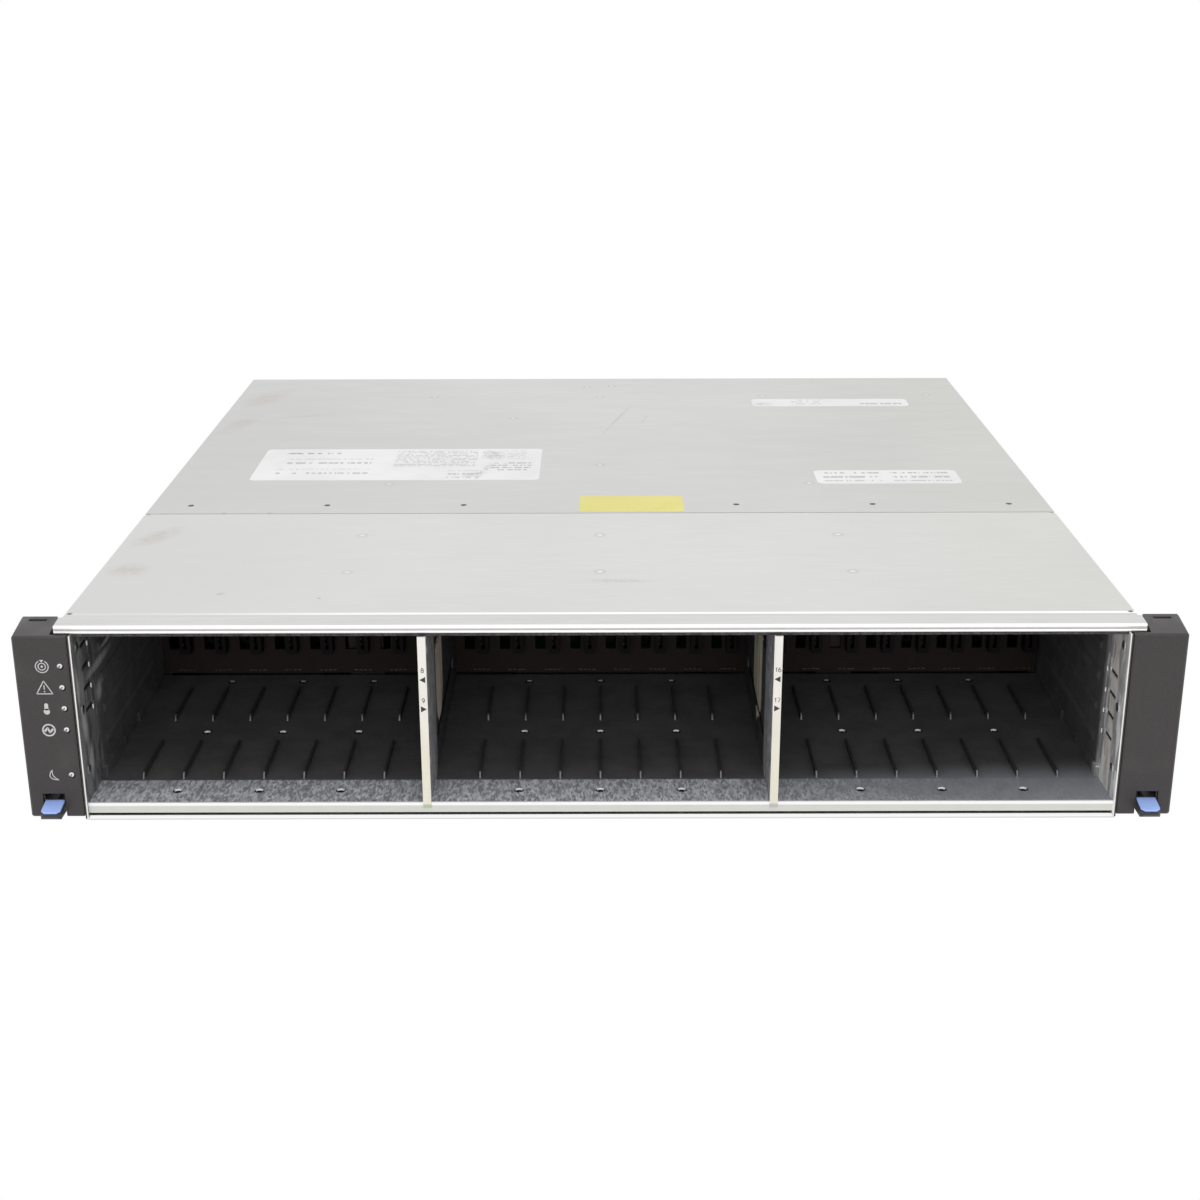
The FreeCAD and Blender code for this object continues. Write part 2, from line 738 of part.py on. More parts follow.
def cap_latch():
    """Rocking latch: finger tab in front, arm through the lugs, catch under the ear. Right-hand."""
    tip = ear_front_y - latch_reach
    shoulder = ear_front_y + cap_front_wall + 1
    catch_y = ear_plane_y + ear_sheet + latch_hook
    bottom = cap_bottom + latch_ground
    x = latch_x - latch_width / 2
    tab = prism([(x, tip, latch_top(tip)), (x, shoulder, latch_top(shoulder)),
                 (x, shoulder, bottom + latch_hook), (x, shoulder - 2, bottom),
                 (x, tip + latch_corner, bottom), (x, tip, bottom + latch_corner)],
                V(latch_width, 0, 0))
    tab = tab.makeChamfer(latch_corner, upright_edges_before(tab, tip + tiny))
    x = arm_x - latch_arm_width / 2
    top = latch_top(shoulder)
    catch_top = ear_leg_bottom - latch_catch_gap
    arm = prism([(x, shoulder - 1, top), (x, catch_y - 3, top), (x, catch_y - 2, catch_top),
                 (x, catch_y, catch_top - 0.5), (x, catch_y, top - latch_arm_thickness),
                 (x, latch_y, latch_pivot_z - latch_pin_radius - pin_end_gap),
                 (x, shoulder - 1, bottom + latch_hook)], V(latch_arm_width, 0, 0))
    axle = pin(latch_pin_radius, V(arm_x - latch_pin_reach, latch_y, latch_pivot_z),
               V(arm_x + latch_pin_reach, latch_y, latch_pivot_z))
    return join([tab, arm, axle])


def latch_pad():
    """Coloured finger pad on the top of the latch's tab. Right-hand."""
    start = ear_front_y - latch_reach + latch_pad_margin
    end = ear_front_y + latch_corner
    x = latch_x - latch_width / 2 + latch_pad_margin
    profile = [(x, start, latch_top(start)), (x, start, latch_top(start) + latch_pad_height),
               (x, end, latch_top(end) + latch_pad_height), (x, end, latch_top(end))]
    pad = prism(profile, V(latch_width - 2 * latch_pad_margin, 0, 0))
    return pad.makeChamfer(latch_corner, upright_edges_before(pad, start + tiny))


def status_light_pipes():
    """Clear pins that carry the status lights to the left cap's face."""
    x = -(cap_inner + pipe_from_inner)
    front = ear_front_y - pipe_stand_out
    return Part.makeCompound([facetted(pipe_radius, V(x, front, z), V(x, front + pipe_length, z),
                                       sides=pipe_sides) for z in pipe_zs])


def status_led_board():
    """Narrow board beside the cage wall with one light behind each pipe."""
    x0 = -(cage_half_width + sheet)
    lamp_y = ear_front_y - pipe_stand_out + pipe_length + body_gap
    board_y = lamp_y + lamp_size[2]
    board = block(x0 - led_board_width, x0, board_y, board_y + board_thickness,
                  pipe_zs[-1] - led_board_width, pipe_zs[0] + led_board_width)
    x = -(cap_inner + pipe_from_inner)
    lamps = [plate(x, z, lamp_size[0], lamp_size[1], lamp_y, board_y) for z in pipe_zs]
    return join([board] + lamps)


# ---------------------------------------------------------------- cam levers
def cam_lever(length, bow, width):
    """A bowed lever along +X from its pivot at the origin, bowed to +Y, pinned along Z."""
    t = lever_thickness / 2
    low, high = -width / 2, width / 2
    inner = Part.Arc(V(0, -t, low), V(length / 2, bow - t, low), V(length, -t, low)).toShape()
    outer = Part.Arc(V(length, t, low), V(length / 2, bow + t, low), V(0, t, low)).toShape()
    tip = [V(length, -t, low), V(length + t, -t / 2, low), V(length + t, t / 2, low),
           V(length, t, low)]
    root = [V(0, t, low), V(-t, t / 2, low), V(-t, -t / 2, low), V(0, -t, low)]
    outline = Part.Wire([inner] + Part.makePolygon(tip).Edges + [outer] + Part.makePolygon(root).Edges)
    bar = Part.Face(outline).extrude(V(0, 0, width))
    pin_end = high + body_gap + lug_thickness
    stubs = [pin(lever_pin_radius, V(0, 0, z0), V(0, 0, z1))
             for z0, z1 in ((-pin_end, low), (high, pin_end))]
    return join([bar] + stubs)


def lever_lugs(width, standoff):
    """Two ears that carry a lever's pin along Z, reaching back to the face behind them."""
    lugs = []
    r, c = lug_radius, lug_radius * 0.5
    for s in (-1, 1):
        inner = s * (width / 2 + body_gap)
        outer = inner + s * lug_thickness
        low, high = min(inner, outer), max(inner, outer)
        ear = prism([(-r, -standoff, low), (r, -standoff, low), (r, r - c, low), (r - c, r, low),
                     (c - r, r, low), (-r, r - c, low)], V(0, 0, high - low))
        lugs.append(ear.cut(pin_bore(lever_pin_radius, V(0, 0, low - 1), V(0, 0, high + 1))))
    return lugs


def upright(shape, x, y, z):
    """Turn a shape's local X upwards about Y, then move its origin to x, y, z."""
    turned = shape.copy()
    turned.rotate(V(0, 0, 0), V(0, 1, 0), -90)
    turned.translate(V(x, y, z))
    return turned


# ---------------------------------------------------------------- power modules
intake_slot = (7.0, 44.0)
intake_pitch = 12.5
intake_pairs = 3
lever_x = -power_width / 2 + 2.0 + power_lever["width"] / 2
power_lever_z = module_bottom + power_lever["rise"]
power_lever_y = face_outer_y + power_lever["standoff"]
fan_z = module_top - thin_sheet - fan_size / 2 - 1.0
fan_xs = (-14.5, -14.5 + fan_pitch)
inlet_center = (3.0, 21.0)
inlet_opening = (24.4, 16.8)
inlet_depth = 17.0
inlet_pin = (2.0, 4.0, 10.0)
inlet_pin_places = ((-7.0, -1.5), (0.0, 2.5), (7.0, -1.5))
switch_center = (30.6, 21.0)
switch_opening = (13.0, 19.6)
switch_pin_radius = 1.0
switch_pin_reach = 1.2
switch_axis_y = face_outer_y - 1.5
switch_well = 9.0
rocker_back = 3.6           # depth behind the pivot
rocker_tilt = 1.9           # how much prouder the raised end is
rocker_half = (6.4, 8.6)    # half height at the back and at the front
entry_size = (52.0, 27.0)
entry_center = (15.6, 21.0)
entry_flange = 2.0          # thickness, and overlap on the face round the cut-out
converter = {"half_width": 44.0, "rear": 150.0, "post": 3.0, "can": (11.0, 42.0),
             "transformer": (40.0, 42.0, 34.0), "sink": (14.0, 90.0, 5.0, 38.0), "fin": 2.0}


def hexagon(x, z, half_flats, y0, y1):
    """A six-sided prism along Y, with flats to its left and right."""
    r = half_flats / math.cos(math.pi / 6)
    angles = [math.pi / 3 * (i + 0.5) for i in range(6)]
    return prism([(x + r * math.cos(a), y0, z + r * math.sin(a)) for a in angles],
                 V(0, y1 - y0, 0))


def grille_cutters(x, z):
    """Hexagonal holes in a hexagon-shaped field in front of one fan."""
    holes = []
    rise = grille_pitch * math.sqrt(3) / 2
    for row in range(-grille_rings, grille_rings + 1):
        count = grille_row - abs(row)
        for i in range(count):
            hx = x + (i - (count - 1) / 2) * grille_pitch
            holes.append(hexagon(hx, z + row * rise, grille_hole, face_inner_y - 1, face_outer_y + 1))
    return holes


def power_case():
    """Folded case, open at the top: base, sides, pierced front and rear faces, lever ears."""
    half = power_width / 2
    t = thin_sheet
    outer = block(-half, half, module_front_y, face_outer_y, module_bottom, module_top)
    inner = block(-half + t, half - t, module_front_y + t, face_inner_y,
                  module_bottom + t, module_top + 1)
    case = outer.cut(inner)
    lugs = [upright(lug, lever_x, power_lever_y, power_lever_z)
            for lug in lever_lugs(power_lever["width"], power_lever["standoff"])]
    case = join([case] + lugs)
    cutters = []
    for x in fan_xs:
        cutters += grille_cutters(x, fan_z)
    cutters.append(plate(entry_center[0], entry_center[1], entry_size[0] - 2 * entry_flange,
                         entry_size[1] - 2 * entry_flange, face_inner_y - 1, face_outer_y + 1))
    front, back = module_front_y - 1, module_front_y + t + 1
    cutters.append(plate(0, power_tongue_z, power_tongue_width + 10, module_connector_height + 8,
                         front, back))
    z = (module_bottom + module_top) / 2 + intake_slot[1] / 6
    for i in range(-intake_pairs, intake_pairs + 1):
        cutters.append(plate(i * intake_pitch, z, intake_slot[0], intake_slot[1], front, back))
    return carve(case, cutters)


def power_cover():
    """Lid of the power module."""
    half = power_width / 2 - thin_sheet
    return block(-half, half, module_front_y + thin_sheet, face_inner_y,
                 module_top - thin_sheet, module_top)


def board_posts(xs, ys, bottom, top):
    """Posts under a circuit board."""
    return [facetted(post_radius, V(x, y, bottom), V(x, y, top), sides=6) for x in xs for y in ys]


def finned_sink(x0, y0, z0, size, fin, count):
    """Heat sink: a base with upright fins along Y; size is width, length, base and height."""
    width, length, base, height = size
    pitch = (width - fin) / (count - 1)
    fins = [block(x0 + i * pitch, x0 + i * pitch + fin, y0, y0 + length, z0 + base, z0 + height)
            for i in range(count)]
    return [block(x0, x0 + width, y0, y0 + length, z0, z0 + base)] + fins


def power_board():
    """Converter board on posts: capacitors, transformer and finned heat sinks."""
    top = power_tongue_z + board_thickness / 2
    bottom = top - board_thickness
    half, rear = converter["half_width"], converter["rear"]
    front = module_front_y + 4
    board = block(-half, half, front, rear, bottom, top)
    tongue = block(-power_tongue_width / 2, power_tongue_width / 2, tongue_y, front + 1, bottom, top)
    inset = 2 * post_radius
    posts = board_posts((-half + inset, half - inset), (front + inset, rear - inset),
                        module_bottom + thin_sheet, bottom)
    radius, height = converter["can"]
    y = rear - 3 * radius
    cans = [facetted(radius, V(x, y, top), V(x, y, top + height), sides=12)
            for x in (-2.5 * radius, 0)]
    start, side, height = converter["transformer"]
    transformer = block(0, side, start, start + side, top, top + height)
    width, length = converter["sink"][:2]
    sinks = [piece for x0 in (-half + inset, -half + inset + 1.5 * width)
             for piece in finned_sink(x0, start - length - 10, top, converter["sink"],
                                      converter["fin"], 4)]
    return join([board, tongue] + posts + cans + [transformer] + sinks)


def fan_frame(x):
    """Square fan housing with a round bore, a motor mount and three struts."""
    y0 = face_inner_y - fan_depth
    frame = plate(x, fan_z, fan_size, fan_size, y0, face_inner_y)
    frame = frame.cut(facetted(fan_bore, V(x, y0 - 1, fan_z), V(x, face_inner_y + 1, fan_z),
                               sides=20))
    mount = facetted(rotor_hub, V(x, y0, fan_z), V(x, y0 + 3, fan_z), sides=2 * blades)
    struts = []
    for i in range(3):
        bar = block(x, x + fan_bore, y0, y0 + strut, fan_z - strut / 2, fan_z + strut / 2)
        bar.rotate(V(x, 0, fan_z), V(0, 1, 0), 120 * i + 30)
        struts.append(bar)
    return join([frame, mount] + struts)


def power_fan_frames():
    """Both fan housings of a power module."""
    return Part.makeCompound([fan_frame(x) for x in fan_xs])


def twisted_bar(start, end):
    """A bar between two rings of points, its warped sides split into flat triangles."""
    faces = [start, end]
    for i in range(len(start)):
        k = (i + 1) % len(start)
        faces += [[start[i], start[k], end[k]], [start[i], end[k], end[i]]]
    shell = Part.makeShell([Part.Face(Part.makePolygon(ring + [ring[0]])) for ring in faces])
    bar = Part.makeSolid(shell)
    if bar.Volume < 0:
        bar.reverse()
    return bar


def fan_rotor(x):
    """Hub with twisted blades, turning about Y."""
    y0 = face_inner_y - fan_depth + 3 + body_gap
    y1 = face_inner_y - rotor_end_gap
    hub = facetted(rotor_hub, V(x, y0, fan_z), V(x, y1, fan_z), sides=2 * blades)
    middle = (y0 + y1) / 2
    half_chord = (y1 - y0) / 2 - 1
    half_thickness = blade_thickness / 2
    rings = []
    for r, twist in ((rotor_hub - 1.0, blade_twist), (rotor_tip, blade_twist * rotor_wash)):
        a = math.radians(90 - twist)
        along = V(0, math.sin(a), math.cos(a)) * half_chord
        across = V(0, math.cos(a), -math.sin(a)) * half_thickness
        center = V(x + r, middle, fan_z)
        rings.append([center + along - across, center + along + across,
                      center - along + across, center - along - across])
    blade = twisted_bar(*rings)
    turned = []
    for i in range(blades):
        copy = blade.copy()
        copy.rotate(V(x, 0, fan_z), V(0, 1, 0), 360.0 / blades * i)
        turned.append(copy)
    return join([hub] + turned)


def power_inlet():
    """Power-entry moulding: flanged, with a three-pin socket and the switch's frame."""
    cx, cz = entry_center
    width, height = entry_size
    front = face_outer_y + entry_flange
    flange = plate(cx, cz, width, height, face_outer_y, front)
    inset = 2 * entry_flange + body_gap
    body = plate(cx, cz, width - inset, height - inset, front - inlet_depth - 4, face_outer_y)
    entry = join([flange, body])
    sx, sz = inlet_center
    w, h = inlet_opening
    corner = h / 4
    socket = prism([(sx - w / 2, front + 1, sz - h / 2), (sx + w / 2, front + 1, sz - h / 2),
                    (sx + w / 2, front + 1, sz + h / 2 - corner),
                    (sx + w / 2 - corner, front + 1, sz + h / 2),
                    (sx - w / 2 + corner, front + 1, sz + h / 2),
                    (sx - w / 2, front + 1, sz + h / 2 - corner)], V(0, -inlet_depth - 1, 0))
    kx, kz = switch_center
    kw, kh = switch_opening
    well = plate(kx, kz, kw, kh, front - switch_well, front + 1)
    entry = carve(entry, [socket, well])
    back = front - inlet_depth
    pins = [plate(sx + dx, sz + dz, inlet_pin[0], inlet_pin[1], back, back + inlet_pin[2])
            for dx, dz in inlet_pin_places]
    reach = kw / 2 + switch_pin_reach + pin_end_gap
    bore = pin_bore(switch_pin_radius, V(kx - reach, switch_axis_y, kz),
                    V(kx + reach, switch_axis_y, kz))
    return carve(join([entry] + pins), [bore])


def power_switch():
    """Rocker of the power switch, pivoted across its frame."""
    kx, kz = switch_center
    kw, kh = switch_opening
    half = kw / 2 - latch_play
    axis_y = switch_axis_y
    back, front = rocker_half
    proud = rocker_back + 0.4
    profile = [(kx - half, axis_y - rocker_back, kz), (kx - half, axis_y - 1, kz - back),
               (kx - half, axis_y + proud + rocker_tilt / 2, kz - front), (kx - half, axis_y + proud, kz),
               (kx - half, axis_y + proud - rocker_tilt / 2, kz + front), (kx - half, axis_y - 1, kz + back)]
    rocker = prism(profile, V(2 * half, 0, 0))
    reach = kw / 2 + switch_pin_reach
    axle = pin(switch_pin_radius, V(kx - reach, axis_y, kz), V(kx + reach, axis_y, kz))
    return join([rocker, axle])


def power_lever_piece():
    """The cam lever of a power module, upright beside its fans."""
    lever = cam_lever(power_lever["length"], power_lever["bow"], power_lever["width"])
    return upright(lever, lever_x, power_lever_y, power_lever_z)


# ---------------------------------------------------------------- I/O modules
io_lever_inset = 10.3       # pivots inside the case's sides
io_lever_pivot = io_half - io_lever_inset
io_lever_y = face_outer_y + io_lever["standoff"]
io_board_rise = io_tongue_rise - board_thickness / 2
sas_count = 4
sas_pitch = 21.0
sas_opening = (18.4, 9.4)
sas_center = -22.0
jack_count = 2
jack_pitch = 16.0
jack_opening = (12.4, 11.0)
jack_center = 44.0
cage_skin = 0.9
port_depth = 20.0
port_stand_out = 0.6
port_play = 0.4             # round a socket row in the face
io_vent = (3.2, 10.0)
io_vent_pitch = 6.5
io_vent_pairs = 3
io_board_inset = 8.3        # board inside the case's sides
controller = {"half_width": io_half - io_board_inset, "sink": (44.0, 44.0, 4.0, 18.0),
              "sink_y": 60.0, "fin": 1.8, "chip": (11.0, 2.2), "chip_place": (62.0, 11.0)}


def port_rows():
    """Centre, opening and count of each ganged row of sockets."""
    return ((sas_center, sas_opening, sas_count, sas_pitch),
            (jack_center, jack_opening, jack_count, jack_pitch))


def row_width(opening, count, pitch):
    """Outer width of a ganged row."""
    return (count - 1) * pitch + opening[0] + 2 * cage_skin


def io_case(bottom):
    """Closed sheet case with a pierced rear face and the levers' ears."""
    t = thin_sheet
    top = bottom + io_height
    outer = block(-io_half, io_half, module_front_y, face_outer_y, bottom, top)
    inner = block(-io_half + t, io_half - t, module_front_y - 1, face_inner_y, bottom + t, top - t)
    case = outer.cut(inner)
    lever_z = bottom + io_lever["rise"]
    lugs = []
    for s in (-1, 1):
        for lug in lever_lugs(io_lever["width"], io_lever["standoff"]):
            lug.translate(V(s * io_lever_pivot, io_lever_y, lever_z))
            lugs.append(lug)
    case = join([case] + lugs)
    base = bottom + io_tongue_rise + board_thickness / 2
    cutters = []
    for center, opening, count, pitch in port_rows():
        height = opening[1] + 2 * cage_skin
        cutters.append(plate(center, base + height / 2, row_width(opening, count, pitch) + port_play,
                             height + port_play, face_inner_y - 1, face_outer_y + 1))
    for i in range(-io_vent_pairs, io_vent_pairs + 1):
        cutters.append(plate(i * io_vent_pitch, lever_z, io_vent[0], io_vent[1],
                             face_inner_y - 1, face_outer_y + 1))
    return carve(case, cutters)


def io_board(bottom):
    """Controller board on posts, with a finned heat sink and chips."""
    z0 = bottom + io_board_rise
    z1 = z0 + board_thickness
    half = controller["half_width"]
    front, rear = module_front_y + 3, face_inner_y - 2
    board = block(-half, half, front, rear, z0, z1)
    tongue = block(-io_tongue_width / 2, io_tongue_width / 2, tongue_y, front + 1, z0, z1)
    inset = 3 * post_radius
    posts = board_posts((-half + inset, half - inset), (front + inset, rear - inset),
                        bottom + thin_sheet, z0)
    width, length = controller["sink"][:2]
    sink = finned_sink(-width / 2, controller["sink_y"], z1, controller["sink"],
                       controller["fin"], 8)
    half, height = controller["chip"]
    x, y = controller["chip_place"]
    chips = [block(cx - half, cx + half, cy - half, cy + half, z1, z1 + height)
             for cx, cy in ((-x, 8 * y), (x, 8 * y), (-x, y), (x, y), (0, -y))]
    return join([board, tongue] + posts + sink + chips)


def io_ports(bottom):
    """Two ganged rows of sockets, standing on the board and reaching through the face."""
    base = bottom + io_tongue_rise + board_thickness / 2
    rows = []
    for center, opening, count, pitch in port_rows():
        width = row_width(opening, count, pitch)
        height = opening[1] + 2 * cage_skin
        cage = plate(center, base + height / 2, width, height, face_outer_y - port_depth,
                     face_outer_y + port_stand_out)
        holes = [plate(center + (i - (count - 1) / 2) * pitch, base + height / 2, opening[0],
                       opening[1], face_outer_y - port_depth + 2, face_outer_y + 2)
                 for i in range(count)]
        rows.append(carve(cage, holes))
    return Part.makeCompound(rows)


def io_lever_piece(bottom, s):
    """One of the two cam levers of an I/O module; s is 1 on the right, -1 on the left."""
    lever = cam_lever(io_lever["length"], io_lever["bow"], io_lever["width"])
    if s > 0:
        lever = mirrored(lever)
    lever.translate(V(s * io_lever_pivot, io_lever_y, bottom + io_lever["rise"]))
    return lever


# ---------------------------------------------------------------- the whole shelf
def build():
    """Every node of the shelf by name."""
    nodes = {"chassis_shell": chassis_shell(), "front_top_panel": front_top_panel(),
             "rear_top_cover": rear_top_cover(), "top_front_rail": top_front_rail(),
             "cover_screws": cover_screws(), "chassis_rivets": chassis_rivets(),
             "drive_cage_floor": drive_cage_floor(), "drive_cage_ceiling": drive_cage_ceiling(),
             "midplane_board": midplane_board(), "drive_connectors": drive_connectors(),
             "module_connectors": module_connectors(), "midplane_carrier": midplane_carrier(),
             "module_shelf": module_shelf(), "status_led_board": status_led_board(),
             "status_light_pipes": status_light_pipes(), "left_end_cap": left_end_cap(),
             "right_end_cap": end_cap()}
    nodes["right_cage_wall"] = cage_wall("right")
    nodes["left_cage_wall"] = mirrored(cage_wall("left"))
    for side, x in zip(("left", "right"), divider_xs):
        nodes[f"{side}_bay_divider"] = bay_divider(x)
        nodes[f"{side}_divider_strip"] = divider_strip(x)
    for name, maker in (("module_wall", module_wall), ("rack_flange", rack_flange),
                        ("cap_latch", cap_latch), ("latch_pad", latch_pad)):
        for side, shape in handed(maker).items():
            nodes[f"{side}_{name}"] = shape
    for side, x in (("left", -power_x), ("right", power_x)):
        pieces = {"case": power_case(), "cover": power_cover(), "board": power_board(),
                  "fan_frames": power_fan_frames(), "fan_a": fan_rotor(fan_xs[0]),
                  "fan_b": fan_rotor(fan_xs[1]), "inlet": power_inlet(),
                  "switch": power_switch(), "lever": power_lever_piece()}
        for name, shape in pieces.items():
            shape.translate(V(x, 0, 0))
            nodes[f"{side}_power_{name}"] = shape
    for level, z in io_bottoms.items():
        nodes[f"{level}_io_case"] = io_case(z)
        nodes[f"{level}_io_board"] = io_board(z)
        nodes[f"{level}_io_ports"] = io_ports(z)
        nodes[f"{level}_io_lever_left"] = io_lever_piece(z, -1)
        nodes[f"{level}_io_lever_right"] = io_lever_piece(z, 1)
    return nodes


os.makedirs("parts", exist_ok=True)
for node, solid in build().items():
    solid.exportStep(f"parts/{node}.step")
    print(f"{node:26s} solids {len(solid.Solids):3d}  valid {solid.isValid()}  "
          f"volume {solid.Volume / 1000:9.2f} cm3")
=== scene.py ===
"""Disk shelf enclosure: finishes, print, small trim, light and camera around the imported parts.

X runs across the shelf, Y from the front to the rear, Z up. Points of a surface are in metres. A
field is in millimetres, unless it is multiplied by MM or belongs to a lamp or the studio, which
are in metres. Every new piece is made of closed surfaces worked out with numpy, and every finish
is a node graph that reads Object coordinates.
"""
import json
import logging
import math
from contextlib import contextmanager
from dataclasses import dataclass, field
from enum import Enum
from typing import Any, Callable, Iterable, Iterator, Sequence

import bmesh
import bpy
import numpy as np
from mathutils import Matrix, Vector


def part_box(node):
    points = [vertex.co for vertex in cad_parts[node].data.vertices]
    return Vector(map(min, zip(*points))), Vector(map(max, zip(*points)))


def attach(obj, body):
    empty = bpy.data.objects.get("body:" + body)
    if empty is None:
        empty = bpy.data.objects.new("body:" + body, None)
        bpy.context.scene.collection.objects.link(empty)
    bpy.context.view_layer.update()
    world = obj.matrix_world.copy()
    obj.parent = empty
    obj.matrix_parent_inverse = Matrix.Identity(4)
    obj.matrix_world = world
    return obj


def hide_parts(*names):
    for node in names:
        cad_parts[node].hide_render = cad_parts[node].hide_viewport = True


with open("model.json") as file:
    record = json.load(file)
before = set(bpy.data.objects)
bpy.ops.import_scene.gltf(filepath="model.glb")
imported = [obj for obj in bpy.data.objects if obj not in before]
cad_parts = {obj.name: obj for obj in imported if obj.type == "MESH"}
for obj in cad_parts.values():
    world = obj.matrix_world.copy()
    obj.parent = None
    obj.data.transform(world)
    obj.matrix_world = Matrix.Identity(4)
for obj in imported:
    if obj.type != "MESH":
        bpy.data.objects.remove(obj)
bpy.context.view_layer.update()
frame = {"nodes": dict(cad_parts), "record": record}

Array = np.ndarray
Colour = tuple[float, float, float]
Point = tuple[float, float]
Corner = tuple[float, float, float]
MM = 0.001
# Near-black painted shade, for places that little light reaches.
PAINTED_SHADE: Colour = (0.02, 0.016, 0.016)
SECTIONS = (-145.45, 0.0, 145.45)  # middles of the three bay sections, millimetres
BAYS = 8  # upright drives in a section
PITCH = 17.35  # from drive to drive, millimetres
LOG = logging.getLogger("disk_shelf")


class Side(Enum):
    """The two ends of the shelf, as seen from the front."""

    LEFT = -1
    RIGHT = 1

    @property
    def word(self) -> str:
        """Name used in node and body names."""
        return self.name.lower()


class Level(Enum):
    """The two stacked I/O bays."""

    LOWER = "lower"
    UPPER = "upper"


class Axis(Enum):
    """Axes of the shelf, by their place in a vector."""

    X = 0
    Y = 1
    Z = 2


# ------------------------------------------------------------------------ surfaces
@dataclass(frozen=True)
class Plane:
    """A flat place for printed marks: where it starts and which ways it faces."""

    origin: Corner
    across: Corner
    up: Corner

    def place(self, x: Array, y: Array, height: Array | float) -> Array:
        """Points of the plane at x and y, raised by height along its outward normal.

        Args:
            x: distances along the plane's across direction.
            y: distances along its up direction.
            height: distance in front of the plane.
        Returns:
            An array of points, one row each: origin + x across + y up + height (across x up).
        """
        across, up = np.array(self.across), np.array(self.up)
        out = np.cross(across, up)
        x, y, height = np.broadcast_arrays(np.asarray(x, float), y, height)
        return (np.array(self.origin) + x[..., None] * across + y[..., None] * up
                + height[..., None] * out)


